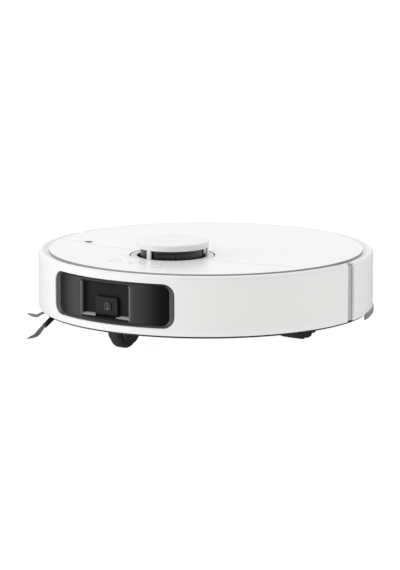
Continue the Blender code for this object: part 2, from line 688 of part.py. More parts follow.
def tunnel_outline(radius, low):
    """The brush tunnel's cross-section: an arch with straight legs."""
    top = [(ROLLER_Y + radius * math.cos(a), ROLLER_HEIGHT + radius * math.sin(a))
           for a in (math.pi * i / 12 for i in range(13))]
    return [(ROLLER_Y - radius, low), (ROLLER_Y + radius, low)] + top


def build_brush_housing():
    housing = plate("brush_housing", "black_plastic", [tunnel_outline(TUNNEL_R + TUNNEL_WALL, 12.3)],
                    TUNNEL_HALF * 2, (0, 0, 0), "X")
    join(housing, box("duct", "black_plastic", (-34.0, -30.0, 26.0), (34.0, BOX_FRONT - 0.6, 44.0)))
    cut(housing, plate("tunnel_space", "black_plastic", [tunnel_outline(TUNNEL_R, 5.0)],
                       (TUNNEL_HALF - TUNNEL_WALL) * 2, (0, 0, 0), "X"))
    cut(housing, box("duct_space", "black_plastic", (-32.0, -32.0, 28.0), (32.0, 10.0, 42.0)))


def guard_outline(margin):
    """The guard's rectangle, with its front right corner cut round the side brush."""
    reach = BOWL_R + 0.8 - margin
    half, front, back = GUARD_HALF + margin, GUARD_FRONT - margin, GUARD_BACK + margin
    start = 180.0 - math.degrees(math.asin((-half - HUB_X) / reach))
    end = 90.0 + math.degrees(math.asin((front - HUB_Y) / reach))
    corner = arc(reach, start, end, 6, (HUB_X, HUB_Y))
    return [(half, front), (half, back), (-half, back)] + corner


def build_main_brush():
    fins = 5
    outline = []
    for i in range(fins):
        for offset, radius in ((-0.42, 12.0), (-0.16, 12.6), (-0.09, ROLLER_R),
                               (0.09, ROLLER_R), (0.16, 12.6)):
            outline.append(around((i + offset) * 360 / fins, radius))
    plate("main_brush", "brush_rubber", [outline], ROLLER_HALF * 2, (0, ROLLER_Y, ROLLER_HEIGHT), "X")

    loops = [guard_outline(0.0),
             rectangle(-TUNNEL_HALF - 0.9, TUNNEL_HALF + 0.9, ROLLER_Y - 24.3, ROLLER_Y + 24.2)]
    guard = plate("brush_guard", "inner_grey", loops, 2.3, (0, 0, 13.15))
    for side, name in ((1, "left"), (-1, "right")):
        x = side * LATCH_X
        cut(guard, box("latch_slot", "inner_grey", (x - 9, LATCH_Y - 2.2, 10.0),
                       (x + 9, LATCH_Y + 2.2, 16.0)))
        box("guard_latch_" + name, "trim_grey", (x - 6, LATCH_Y - 1.8, 12.1), (x + 6, LATCH_Y + 1.8, 14.8),
            bevel=0.5)
    rod("brush_motor", "motor_steel", 13.0, 50.0, (-55.0, -84.0, 40.0), "X")
    box("brush_gearbox", "inner_grey", (-93.6, -98.0, 27.0), (-89.9, -24.0, 52.0), bevel=1.0)


# ---------------------------------------------------------------- side brush

def build_side_brush():
    hub = [(0.0, 23.0), (2.5, 23.0), (2.5, 20.4), (8.0, 20.4), (10.0, 18.8), (10.0, 16.0),
           (8.4, 14.8), (0.0, 14.8)]
    brush = turned("side_brush", "black_plastic", hub, at=(HUB_X, HUB_Y, 0), steps=20)
    slope = math.radians(STEM_SLOPE)
    root = STEM_END + STEM_REACH * math.tan(slope)
    near, far = -8.6 / math.cos(slope), -STEM_REACH / math.cos(slope)
    stem_outline = [(-3.2, near), (3.2, near), (2.8, far), (-2.8, far)]
    tufts = []
    for i in range(3):
        azimuth = -(FIRST_ARM + 120 * i)
        stem = plate("stem", "black_plastic", [stem_outline], 3.2, (HUB_X, HUB_Y, root))
        stem.rotation_euler = (slope, 0, math.radians(azimuth))
        join(brush, stem)
        tufts.append(build_tuft(i + 1, azimuth))
    pivot("side_brush_axis", (HUB_X, HUB_Y, 14.8), [brush] + tufts)
    rod("side_brush_motor", "motor_steel", 15.0, 27.0, (HUB_X, HUB_Y, 37.4))


def build_tuft(number, azimuth):
    """One tuft of bristles, from its stem down to just above the floor."""
    curve = bpy.data.curves.new("tuft", "CURVE")
    curve.dimensions = "3D"
    curve.bevel_depth = 1.0 * MM
    curve.bevel_resolution = 1
    curve.use_fill_caps = True
    spline = curve.splines.new("POLY")
    steps = 10
    spline.points.add(steps)
    start, end = STEM_REACH + 0.9, BRISTLE_REACH - 0.05
    for i, point in enumerate(spline.points):
        t = i / steps
        reach = start + (end - start) * t
        drop = min(1.0, t / 0.55)
        height = STEM_END - (STEM_END - 1.4) * (drop * drop * (3 - 2 * drop))
        point.co = (0.0, -reach * MM, height * MM, 1.0)
    return as_mesh(f"side_bristles_{number}", "bristle_grey", curve, place(HUB_X, HUB_Y, 0),
                   Matrix.Rotation(math.radians(azimuth), 3, "Z"))


# ---------------------------------------------------------------- dust box, fan, battery, boards

def build_dust_box():
    tub = box("dust_box", "smoke_clear", (-BOX_HALF, BOX_FRONT, BOX_LOW), (BOX_HALF, BOX_BACK, TRAY_HIGH))
    cut(tub, box("tub_space", "smoke_clear", (-BOX_HALF + BOX_WALL, BOX_FRONT + BOX_WALL, BOX_LOW + BOX_WALL),
                 (BOX_HALF - BOX_WALL, BOX_BACK - BOX_WALL, 90.0)))
    cut(tub, box("tub_inlet", "smoke_clear", (-31.0, 0.0, 29.0), (31.0, 12.0, 41.0)))
    cut(tub, box("tub_outlet", "smoke_clear", (-36.0, 70.0, 30.0), (36.0, 90.0, 60.0)))
    cover = box("dust_box_cover", "inner_grey", (-BOX_HALF - 3, BOX_FRONT - 2, 77.2),
                (BOX_HALF + 3, BOX_BACK + 3, 79.2), bevel=0.6)
    join(cover, box("cover_grip", "inner_grey", (-22.0, 36.0, 78.5), (22.0, 42.0, 80.4)))
    box("dust_filter", "filter_white", (-38.0, 68.0, 28.0), (38.0, 76.0, 62.0), bevel=0.8)


def build_fan():
    shell = [(0.0, 24.0), (31.0, 24.0), (31.0, 56.0), (14.0, 56.0), (14.0, 58.0), (FAN_R, 58.0),
             (FAN_R, 22.0), (0.0, 22.0)]
    housing = turned("fan_housing", "inner_grey", shell, at=(FAN_X, FAN_Y, 0), steps=28)
    outlet = box("fan_outlet", "inner_grey", (-12.0, -8.0, 28.0), (12.0, 8.0, 48.0))
    x, y = around(VENT_AZIMUTH, 32.0, (FAN_X, FAN_Y))
    outlet.location = place(x, y, 38.0)
    outlet.rotation_euler = (0, 0, math.radians(VENT_AZIMUTH))
    cut(housing, outlet)

    blades, outline = 9, []
    for i in range(blades):
        for offset, radius in ((-0.30, 9.0), (0.20, 26.0), (0.34, 26.0), (0.0, 9.5)):
            outline.append(around((i + offset) * 360 / blades, radius))
    wheel = plate("fan_impeller", "trim_grey", [outline], 14.0, (FAN_X, FAN_Y, 39.0))
    join(wheel, rod("impeller_disc", "trim_grey", 27.0, 2.5, (FAN_X, FAN_Y, 32.0)))


def build_electronics():
    box("battery_pack", "battery_wrap", (PACK_LEFT, PACK_FRONT, 21.8), (PACK_RIGHT, PACK_BACK, 57.0),
        bevel=2.0)
    board = box("main_board", "board_green", (-75.0, -146.0, 62.0), (30.0, -108.0, 63.6))
    for x, y, half, height in ((-50.0, -128.0, 9.0, 2.6), (-20.0, -124.0, 7.0, 3.0), (8.0, -130.0, 8.0, 7.0)):
        join(board, box("chip", "board_green", (x - half, y - half, 63.0),
                        (x + half, y + half, 63.6 + height)))


def main():
    clear_scene()
    build_chassis()
    build_skirt()
    build_rear_shell()
    build_seam_strips()
    pivot("bumper_slide", (0, 0, WALL_FOOT), [build_bumper()] + build_window())
    build_top()
    build_buttons()
    build_turret()
    build_lidar()
    for side, name in ((1, "left"), (-1, "right")):
        build_wheel(side, name)
    build_caster()
    build_brush_housing()
    build_main_brush()
    build_side_brush()
    build_dust_box()
    build_fan()
    build_electronics()


main()
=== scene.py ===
"""Robot vacuum: the visible pieces, their materials, the studio and the camera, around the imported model.

Sizes are in millimetres and heights are above the floor, as in the CAD source; the scene is in metres.
The front is -Y and the robot's own left is +X. An azimuth counts from the front towards +X.
"""

import json
import math
import random

import bmesh
import bpy
from mathutils import Matrix, Vector


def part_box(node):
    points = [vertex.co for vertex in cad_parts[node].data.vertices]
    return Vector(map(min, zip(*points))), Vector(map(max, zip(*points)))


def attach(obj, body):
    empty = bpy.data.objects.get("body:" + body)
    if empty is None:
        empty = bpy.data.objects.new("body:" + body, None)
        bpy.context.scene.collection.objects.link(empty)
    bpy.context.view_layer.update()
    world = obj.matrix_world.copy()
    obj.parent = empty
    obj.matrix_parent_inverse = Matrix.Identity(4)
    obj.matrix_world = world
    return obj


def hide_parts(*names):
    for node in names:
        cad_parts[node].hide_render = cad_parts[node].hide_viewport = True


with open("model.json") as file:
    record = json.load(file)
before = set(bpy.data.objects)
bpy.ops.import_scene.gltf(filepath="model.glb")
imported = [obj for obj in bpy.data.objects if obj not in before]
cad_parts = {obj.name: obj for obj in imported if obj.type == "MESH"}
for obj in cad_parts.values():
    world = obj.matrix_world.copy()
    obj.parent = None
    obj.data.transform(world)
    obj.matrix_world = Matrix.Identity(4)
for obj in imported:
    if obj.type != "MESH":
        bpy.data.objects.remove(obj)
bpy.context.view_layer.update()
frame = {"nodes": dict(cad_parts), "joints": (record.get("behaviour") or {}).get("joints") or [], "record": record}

MM = 0.001
UNDERSIDE = 12.0         # height of the frame's origin above the floor
FINE = 256               # facets around a large turned piece
SMALL = 96               # facets around a small one

SLOTS = {m["slot"]: m["base_color"] for m in frame["record"]["materials"]}
JOINTS = {j["name"]: j for j in frame["joints"]}


# ---------------------------------------------------------------- places

def around(azimuth, radius, centre=(0.0, 0.0)):
    """The point at an azimuth and a radius, in plan."""
    a = math.radians(azimuth)
    return centre[0] + radius * math.sin(a), centre[1] - radius * math.cos(a)


def joint_place(name):
    """A joint's point as (x, y, height)."""
    x, y, z = (value / MM for value in JOINTS[name]["pos_m"])
    return x, y, z + UNDERSIDE


def extent(node):
    """A CAD node's lowest and highest corners as (x, y, height)."""
    return [(p.x / MM, p.y / MM, p.z / MM + UNDERSIDE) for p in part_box(node)]


# ---------------------------------------------------------------- outlines

def rounded(corners, steps=5):
    """A closed outline from corners (u, v, radius), each rounded by its radius."""
    points = []
    for i, (u, v, radius) in enumerate(corners):
        here = Vector((u, v))
        if not radius:
            points.append((u, v))
            continue
        before = (Vector(corners[i - 1][:2]) - here).normalized()
        after = (Vector(corners[(i + 1) % len(corners)][:2]) - here).normalized()
        half = before.angle(after) / 2
        middle = here + (before + after).normalized() * radius / math.sin(half)
        first = here + before * radius / math.tan(half) - middle
        last = here + after * radius / math.tan(half) - middle
        sweep = first.angle_signed(last)
        for k in range(steps + 1):
            a = -sweep * k / steps
            turned = Matrix.Rotation(a, 2) @ first
            points.append(tuple(middle + turned))
    return points


def bezier(p0, p1, p2, p3, steps):
    points = []
    for i in range(steps + 1):
        t = i / steps
        s = 1 - t
        points.append(tuple(s**3 * a + 3 * s * s * t * b + 3 * s * t * t * c + t**3 * d
                            for a, b, c, d in zip(p0, p1, p2, p3)))
    return points


def arc(radius, start, end, steps, centre=(0.0, 0.0)):
    return [around(start + (end - start) * i / steps, radius, centre) for i in range(steps + 1)]


def rounded_rectangle(half, low, high, corner, along=22, upright=6, corner_steps=8):
    """A rounded rectangle, anticlockwise, with points along its straight sides too."""
    points = []
    sides = (((half, low), -90, (0, 1), high - low - 2 * corner, upright),
             ((half, high), 0, (-1, 0), 2 * (half - corner), along),
             ((-half, high), 90, (0, -1), high - low - 2 * corner, upright),
             ((-half, low), 180, (1, 0), 2 * (half - corner), along))
    for (x, z), start, (du, dv), length, count in sides:
        cx = x - math.copysign(corner, x)
        cz = z + corner if z == low else z - corner
        for i in range(corner_steps + 1):
            a = math.radians(start + 90 * i / corner_steps)
            points.append((cx + corner * math.cos(a), cz + corner * math.sin(a)))
        u, v = points[-1]
        points += [(u + du * length * k / count, v + dv * length * k / count) for k in range(1, count)]
    return points


def mixed(first, second, share):
    return [tuple(a + (b - a) * share for a, b in zip(p, q)) for p, q in zip(first, second)]


# ---------------------------------------------------------------- shapes: (points in mm, faces)

def merged(*shapes):
    points, faces = [], []
    for some_points, some_faces in shapes:
        start = len(points)
        points += some_points
        faces += [tuple(start + i for i in face) for face in some_faces]
    return points, faces


def moved(shape, change):
    return [change(*p) for p in shape[0]], shape[1]


def shifted(shape, dx=0.0, dy=0.0, dh=0.0):
    return moved(shape, lambda x, y, h: (x + dx, y + dy, h + dh))


def swung(shape, azimuth, centre=(0.0, 0.0)):
    """The shape turned about the upright axis, from the front to an azimuth."""
    a = math.radians(azimuth)
    c, s = math.cos(a), math.sin(a)
    cx, cy = centre

    def turn(x, y, h):
        return cx + (x - cx) * c - (y - cy) * s, cy + (x - cx) * s + (y - cy) * c, h

    return moved(shape, turn)


def revolved(profile, centre=(0.0, 0.0), start=0.0, end=360.0, steps=FINE):
    """A closed profile of (radius, height), swept about an upright axis."""
    full = end - start >= 360.0
    columns = steps if full else steps + 1
    points = []
    for i in range(columns):
        azimuth = start + (end - start) * i / steps
        points += [(*around(azimuth, r, centre), h) for r, h in profile]
    n = len(profile)
    faces = []
    for i in range(steps):
        a, b = i * n, (i + 1) % columns * n
        for k in range(n):
            m = (k + 1) % n
            if profile[k][0] > 0 or profile[m][0] > 0:
                faces.append((a + k, b + k, b + m, a + m))
    if not full:
        faces += [tuple(range(n)), tuple(range(steps * n, steps * n + n))]
    return points, faces


def axle_turned(profile, centre, side=1, steps=SMALL):
    """A closed profile of (radius, distance outwards), turned about an axle along X."""
    cx, cy, ch = centre
    return moved(revolved(profile, steps=steps), lambda x, y, h: (cx + side * h, cy + x, ch + y))


def lofted(rings, closed=False):
    """Rings of equal length joined into a skin; open ends are capped."""
    n = len(rings[0])
    points = [p for ring in rings for p in ring]
    faces = []
    for i in range(len(rings) if closed else len(rings) - 1):
        a, b = i * n, (i + 1) % len(rings) * n
        faces += [(a + k, a + (k + 1) % n, b + (k + 1) % n, b + k) for k in range(n)]
    if not closed:
        faces += [tuple(range(n)), tuple(range(len(points) - n, len(points)))]
    return points, faces


AXES = {
    "up": lambda u, v, w: (u, v, w),
    "front": lambda u, v, w: (u, w, v),
    "side": lambda u, v, w: (w, u, v),
}


def prism(outlines, low, high, axis="up"):
    """Flat outlines, the later ones holes in the first, drawn out between two distances along an axis."""
    bm = bmesh.new()
    for outline in outlines:
        ring = [bm.verts.new((u, v, 0.0)) for u, v in outline]
        for a, b in zip(ring, ring[1:] + ring[:1]):
            bm.edges.new((a, b))
    bm.verts.index_update()
    rims = [tuple(v.index for v in e.verts) for e in bm.edges]
    if len(outlines) > 1:
        bmesh.ops.triangle_fill(bm, use_beauty=True, edges=bm.edges[:])
    else:
        bm.faces.new(bm.verts[:])
    flat = [(v.co.x, v.co.y) for v in bm.verts]
    caps = [tuple(v.index for v in f.verts) for f in bm.faces]
    bm.free()
    n = len(flat)
    points = [AXES[axis](u, v, w) for w in (low, high) for u, v in flat]
    faces = caps + [tuple(i + n for i in cap) for cap in caps]
    faces += [(a, b, b + n, a + n) for a, b in rims]
    return points, faces


def tall_box(x0, x1, y0, y1, low, high):
    return prism([[(x0, y0), (x1, y0), (x1, y1), (x0, y1)]], low, high)


def tube(path, radii, sides=6):
    """A round strand along a path of (x, y, height)."""
    rings = []
    for i, here in enumerate(path):
        ahead = Vector(path[min(i + 1, len(path) - 1)]) - Vector(path[max(i - 1, 0)])
        ahead.normalize()
        across = ahead.cross(Vector((0, 0, 1))).normalized()
        over = across.cross(ahead)
        ring = []
        for k in range(sides):
            a = 2 * math.pi * k / sides
            ring.append(tuple(Vector(here) + (across * math.cos(a) + over * math.sin(a)) * radii[i]))
        rings.append(ring)
    return lofted(rings)


# ---------------------------------------------------------------- pieces

WELD = 1e-6                  # points closer than this, in metres, become one
SHARP_ANGLE = 38.0           # a steeper edge stays sharp in the shading
BEVEL_ANGLE = 50.0           # a steeper edge is softened


def mesh_of(name, shape):
    mesh = bpy.data.meshes.new(name)
    points = [(x * MM, y * MM, (h - UNDERSIDE) * MM) for x, y, h in shape[0]]
    mesh.from_pydata(points, [], shape[1])
    bm = bmesh.new()
    bm.from_mesh(mesh)
    bmesh.ops.remove_doubles(bm, verts=bm.verts, dist=WELD)
    bmesh.ops.recalc_face_normals(bm, faces=bm.faces)
    bm.to_mesh(mesh)
    bm.free()
    return mesh


def boolean(target, shape, operation="DIFFERENCE"):
    """Cuts or joins a shape, and keeps the result as the target's own mesh."""
    tool = bpy.data.objects.new("tool", mesh_of("tool", shape))
    bpy.context.scene.collection.objects.link(tool)
    step = target.modifiers.new("boolean", "BOOLEAN")
    step.operation = operation
    step.solver = "EXACT"
    step.object = tool
    bpy.context.view_layer.update()
    made = bpy.data.meshes.new_from_object(target.evaluated_get(bpy.context.evaluated_depsgraph_get()))
    target.modifiers.clear()
    target.data = made
    bpy.data.objects.remove(tool, do_unlink=True)


def common(shape, other):
    """What two shapes share, as a shape."""
    item = bpy.data.objects.new("shared", mesh_of("shared", shape))
    bpy.context.scene.collection.objects.link(item)
    boolean(item, other, "INTERSECT")
    points = [(v.co.x / MM, v.co.y / MM, v.co.z / MM + UNDERSIDE) for v in item.data.vertices]
    faces = [tuple(face.vertices) for face in item.data.polygons]
    bpy.data.objects.remove(item, do_unlink=True)
    return points, faces


def make(name, shape, look, body, nodes=(), cuts=(), joins=(), bevel=0.0, bevel_steps=3,
         sharp=SHARP_ANGLE):
    """A piece: its shape with its cuts, smooth shading and softened edges, on its body."""
    piece = bpy.data.objects.new(name, mesh_of(name, shape))
    bpy.context.scene.collection.objects.link(piece)
    for other in joins:
        boolean(piece, other, "UNION")
    for other in cuts:
        boolean(piece, other)
    piece.data.materials.clear()
    piece.data.materials.append(LOOKS[look])
    piece.data.shade_smooth()
    piece.data.set_sharp_from_angle(angle=math.radians(sharp))
    if bevel:
        soft = piece.modifiers.new("soft_edges", "BEVEL")
        soft.width = bevel * MM
        soft.segments = bevel_steps
        soft.limit_method = "ANGLE"
        soft.angle_limit = math.radians(BEVEL_ANGLE)
        soft.harden_normals = True
    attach(piece, body)
    if nodes:
        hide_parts(*nodes)
    return piece


# ---------------------------------------------------------------- materials

NOISE_LOW, NOISE_HIGH = 0.3, 0.7         # most of a noise texture's values lie between these
FLOW_SCALE, GLOSS_SCALE = 14.0, 60.0
GRAIN_STRENGTH = 0.35
PLEAT_SHADE = 0.62
COPPER = (0.16, 0.13, 0.05, 1)


def node(tree, kind, **values):
    made = tree.nodes.new(kind)
    for key, value in values.items():
        if key in made.inputs:
            made.inputs[key].default_value = value
        else:
            setattr(made, key, value)
    return made


def start_material(name, colour, roughness, metallic=0.0, **sockets):
    material = bpy.data.materials.new(name)
    material.use_nodes = True
    tree = material.node_tree
    shader = tree.nodes["Principled BSDF"]
    shader.inputs["Base Color"].default_value = (*colour, 1.0)
    shader.inputs["Roughness"].default_value = roughness
    shader.inputs["Metallic"].default_value = metallic
    for key, value in sockets.items():
        shader.inputs[key.replace("_", " ")].default_value = value
    place = tree.nodes.new("ShaderNodeTexCoord")
    return material, tree, shader, place.outputs["Object"]


def vary_colour(tree, shader, vector, colour, amount, scale, detail=3.0):
    """Slow, faint variation of the colour."""
    noise = node(tree, "ShaderNodeTexNoise", Scale=scale, Detail=detail)
    tree.links.new(vector, noise.inputs["Vector"])
    ramp = tree.nodes.new("ShaderNodeValToRGB")
    dark, light = ramp.color_ramp.elements
    dark.position, light.position = NOISE_LOW, NOISE_HIGH
    dark.color = (*[c * (1 - amount) for c in colour], 1)
    light.color = (*[min(1.0, c * (1 + amount)) for c in colour], 1)
    tree.links.new(noise.outputs["Fac"], ramp.inputs["Fac"])
    tree.links.new(ramp.outputs["Color"], shader.inputs["Base Color"])


def vary_roughness(tree, shader, vector, low, high, scale):
    noise = node(tree, "ShaderNodeTexNoise", Scale=scale, Detail=4.0)
    spread = tree.nodes.new("ShaderNodeMapRange")
    for key, number in (("From Min", NOISE_LOW), ("From Max", NOISE_HIGH), ("To Min", low), ("To Max", high)):
        spread.inputs[key].default_value = number
    tree.links.new(vector, noise.inputs["Vector"])
    tree.links.new(noise.outputs["Fac"], spread.inputs["Value"])
    tree.links.new(spread.outputs["Result"], shader.inputs["Roughness"])


def add_bump(tree, shader, height, strength, distance):
    bump = node(tree, "ShaderNodeBump", Strength=strength, Distance=distance)
    tree.links.new(height, bump.inputs["Height"])
    tree.links.new(bump.outputs["Normal"], shader.inputs["Normal"])


def grain(tree, vector, scale, detail=2.0):
    noise = node(tree, "ShaderNodeTexNoise", Scale=scale, Detail=detail)
    tree.links.new(vector, noise.inputs["Vector"])
    return noise.outputs["Fac"]


def moulded(name, colour, roughness, spread=0.05, grain_size=0.35, depth=0.006, tint=0.012, **sockets):
    """Injection-moulded plastic: a fine eroded grain, faint flow in its colour and gloss."""
    material, tree, shader, vector = start_material(name, colour, roughness, **sockets)
    vary_colour(tree, shader, vector, colour, tint, FLOW_SCALE)
    vary_roughness(tree, shader, vector, roughness - spread, roughness + spread, GLOSS_SCALE)
    add_bump(tree, shader, grain(tree, vector, 1.0 / (grain_size * MM)), GRAIN_STRENGTH, depth * MM)
    return material


def rubber(name, colour, roughness):
    material, tree, shader, vector = start_material(name, colour, roughness)
    vary_colour(tree, shader, vector, colour, amount=0.18, scale=180.0)
    vary_roughness(tree, shader, vector, roughness - 0.08, roughness + 0.08, scale=90.0)
    add_bump(tree, shader, grain(tree, vector, scale=1600.0, detail=4.0), strength=0.5, distance=0.03 * MM)
    return material


def brushed(name, colour, roughness, stretch):
    """Drawn or turned metal, with its lines along the stretched axis."""
    material, tree, shader, vector = start_material(name, colour, roughness, metallic=1.0)
    mapping = node(tree, "ShaderNodeMapping", Scale=stretch)
    tree.links.new(vector, mapping.inputs["Vector"])
    lines = mapping.outputs["Vector"]
    vary_colour(tree, shader, lines, colour, amount=0.07, scale=1.0)
    vary_roughness(tree, shader, lines, roughness - 0.07, roughness + 0.1, scale=1.0)
    add_bump(tree, shader, grain(tree, lines, scale=1.0), strength=0.25, distance=0.01 * MM)
    return material


def clear_plastic(name, colour, roughness):
    material, tree, shader, vector = start_material(name, colour, roughness, Transmission_Weight=0.7, IOR=1.5)
    vary_roughness(tree, shader, vector, roughness * 0.7, roughness * 1.6, scale=70.0)
    return material


def striped(name, colour, roughness, scale, depth):
    """Regular ridges, such as a filter's pleats, with painted shade darkening the low part of each ridge."""
    material, tree, shader, vector = start_material(name, colour, roughness)
    wave = node(tree, "ShaderNodeTexWave", Scale=scale, Distortion=0.4, bands_direction="X")
    tree.links.new(vector, wave.inputs["Vector"])
    shade = tree.nodes.new("ShaderNodeValToRGB")
    shade.color_ramp.elements[0].color = (*[c * PLEAT_SHADE for c in colour], 1)
    shade.color_ramp.elements[1].color = (*colour, 1)
    tree.links.new(wave.outputs["Fac"], shade.inputs["Fac"])
    tree.links.new(shade.outputs["Color"], shader.inputs["Base Color"])
    add_bump(tree, shader, wave.outputs["Fac"], strength=0.8, distance=depth * MM)
    return material


def circuit(name, colour):
    """Solder mask over copper tracks."""
    material, tree, shader, vector = start_material(name, colour, 0.42)
    tracks = node(tree, "ShaderNodeTexBrick", Scale=160.0, offset=0.5)
    tracks.inputs["Color1"].default_value = (*[c * 1.5 for c in colour], 1)
    tracks.inputs["Color2"].default_value = (*colour, 1)
    tracks.inputs["Mortar"].default_value = COPPER
    tracks.inputs["Mortar Size"].default_value = 0.03
    tree.links.new(vector, tracks.inputs["Vector"])
    tree.links.new(tracks.outputs["Color"], shader.inputs["Base Color"])
    vary_roughness(tree, shader, vector, low=0.34, high=0.5, scale=200.0)
    return material


LOOKS = {
    "shell_white": moulded("shell_white", SLOTS["shell_white"], 0.36, tint=0.006),
    "gloss_white": moulded("gloss_white", SLOTS["gloss_white"], 0.22, spread=0.02, grain_size=3.0,
                           depth=0.0008, tint=0.004, Specular_IOR_Level=0.3),
    "trim_grey": moulded("trim_grey", SLOTS["trim_grey"], 0.44),
    "inner_grey": moulded("inner_grey", SLOTS["inner_grey"], 0.45, tint=0.05),
    "black_plastic": moulded("black_plastic", SLOTS["black_plastic"], 0.40, depth=0.012, tint=0.10),
    "window_black": moulded("window_black", SLOTS["window_black"], 0.10, spread=0.03, grain_size=4.0,
                            depth=0.003, tint=0.05),
    "drum_black": moulded("drum_black", (0.02, 0.02, 0.022), 0.22, spread=0.04, depth=0.004),
    "stem_black": moulded("stem_black", (0.016, 0.016, 0.018), 0.42, depth=0.02, tint=0.15),
    # black plastic painted a lighter grey than it is: a painted highlight on the window's bezel and in the lens
    # barrel's cone
    "bezel_black_painted_highlight": moulded("bezel_black_painted_highlight", (0.04, 0.04, 0.043), 0.34, spread=0.05, depth=0.006, tint=0.06),
    "recess_black": moulded("recess_black", (0.012, 0.012, 0.013), 0.55, tint=0.06, Specular_IOR_Level=0.15),
    "camera_black": moulded("camera_black", (0.012, 0.012, 0.013), 0.5, tint=0.06, Specular_IOR_Level=0.2),
    "lens_glass": moulded("lens_glass", (0.01, 0.01, 0.012), 0.05, spread=0.02, depth=0.001, Coat_Weight=1.0),
    # painted highlight: the recess's rounded side edges are grey, standing in for the light they catch
    "rim_painted_highlight": moulded("rim_painted_highlight", (0.17, 0.17, 0.175), 0.35),
    "strip_grey": moulded("strip_grey", (0.49, 0.49, 0.495), 0.44),
    "tuft_grey": moulded("tuft_grey", (0.25, 0.255, 0.26), 0.5, tint=0.15),
    "skirt_grey": moulded("skirt_grey", (0.27, 0.275, 0.28), 0.45),
    # painted shade: the plates' upright edge faces are grey, darker than their white tops, for the shade they lie
    # in
    "plate_side_painted_shade": moulded("plate_side_painted_shade", (0.36, 0.36, 0.365), 0.4, Specular_IOR_Level=0.2),
    "tyre_rubber": rubber("tyre_rubber", SLOTS["tyre_rubber"], 0.72),
    "brush_rubber": rubber("brush_rubber", SLOTS["brush_rubber"], 0.58),
    "bristle_grey": moulded("bristle_grey", SLOTS["bristle_grey"], 0.5, tint=0.15),
    "smoke_clear": clear_plastic("smoke_clear", SLOTS["smoke_clear"], 0.12),
    "filter_white": striped("filter_white", SLOTS["filter_white"], 0.85, 60.0, 0.8),
    "board_green": circuit("board_green", SLOTS["board_green"]),
    "battery_wrap": moulded("battery_wrap", SLOTS["battery_wrap"], 0.38, grain_size=6.0, depth=0.05,
                            tint=0.08),
    "motor_steel": brushed("motor_steel", SLOTS["motor_steel"], 0.32, (60.0, 900.0, 900.0)),
    "contact_steel": brushed("contact_steel", SLOTS["contact_steel"], 0.26, (900.0, 900.0, 60.0)),
}


# ---------------------------------------------------------------- outer shells

BODY_R, WALL, FOOT = 175.0, 2.2, 22.5
BUMPER_END, REAR_START = 90.3, 94.2      # azimuths
SHELL_STEPS = 144
LIP_R, LIP_HEIGHT, CREST_R, CREST = 160.5, 80.2, 171.3, 82.6
WINDOW = (74.4, 29.7, 74.2, 11.5)        # half width, low, high, corner
LIP_ROUND = 0.8
CONTACT_X = 18.0
CONTACT_HOLE = (8.4, 32.6, 42.4, 1.2)
DOCK_HOLE = (20.0, 52.0, 66.0, 4.0)
THROUGH_BACK = (160.0, 182.0)
# Profiles of (radius, height, corner), and the azimuths where they start and end.
STRIP_ENDS = (88.6, 95.8)
STRIP = ((161.0, 77.6, 0), (168.2, 77.6, 0.6), (170.1, 79.4, 0.8), (171.2, 79.7, 0.6), (172.5, 77.4, 1.2),
         (172.5, 23.0, 0), (170.0, 23.0, 0), (170.0, 76.2, 0), (161.0, 76.2, 0))
SKIRT_START, SKIRT_END = 105.0, 255.0
SKIRT = ((173.0, 17.2, 0), (175.1, 17.2, 0.4), (176.0, 18.4, 0.6), (176.0, 24.0, 0.8), (173.0, 24.0, 0))
SKIRT_SPACE_START, SKIRT_SPACE_END = 104.7, 255.3
SKIRT_SPACE = ((168.0, 24.3), (182.0, 24.3), (182.0, 10.0), (168.0, 10.0))


def shell_profile():
    """The body's wall: the lip under the top plate, the soft shoulder, the side and its foot."""
    outer = [(LIP_R, LIP_HEIGHT)]
    outer += bezier((165.9, LIP_HEIGHT), (168.2, LIP_HEIGHT), (169.0, CREST), (CREST_R, CREST), 8)
    outer += bezier((CREST_R, CREST), (173.7, CREST), (BODY_R, 81.0), (BODY_R, 77.4), 8)[1:]
    outer += [(BODY_R, h) for h in (72.0, 62.0, 52.0, 42.0, 32.0)]
    outer += [(BODY_R, FOOT + 0.9), (BODY_R - 0.25, FOOT + 0.25), (BODY_R - 0.9, FOOT)]
    inner_r = BODY_R - WALL
    inner = [(inner_r, FOOT), (inner_r, 77.4), (172.3, 79.3), (171.2, 80.2), (169.8, 79.9), (168.0, 78.3),
             (165.9, 78.0), (LIP_R, 78.0)]
    return outer + inner


def on_body(outline, radius):
    """An outline in width and height, laid on the body's front at a radius."""
    return [(x, -math.sqrt(radius * radius - x * x), z) for x, z in outline]


def flat_front(outline, y):
    return [(x, y, z) for x, z in outline]


def window_outline(grow, half=WINDOW[0], low=WINDOW[1], high=WINDOW[2], corner=WINDOW[3]):
    return rounded_rectangle(half + grow, low - grow, high + grow, corner + grow)


def flared_hole(outline_of, radius, round_by):
    """A cutter through the front wall whose rim leaves a rounded edge."""
    rings = [flat_front(outline_of(0.0), -150.0)]
    for depth in (1.0, 0.7, 0.45, 0.25, 0.1):
        fall = 1.0 - depth
        grow = round_by * (1.0 - math.sqrt(1.0 - fall * fall))
        rings.append(on_body(outline_of(grow), radius - depth * round_by))
    rings.append(on_body(outline_of(round_by), radius + 0.25))
    rings.append(flat_front(outline_of(round_by), -188.0))
    return lofted(rings)


def vent_slots(first=28.2, pitch=4.4, count=7, azimuth=131.0, half=30.0, tall=2.4):
    for i in range(count):
        low = first + i * pitch
        end = tall / 2 - 0.02
        slot = rounded_rectangle(half, low, low + tall, end, 1, 1, 6)
        yield swung(prism([slot], -190.0, -160.0, "front"), azimuth)


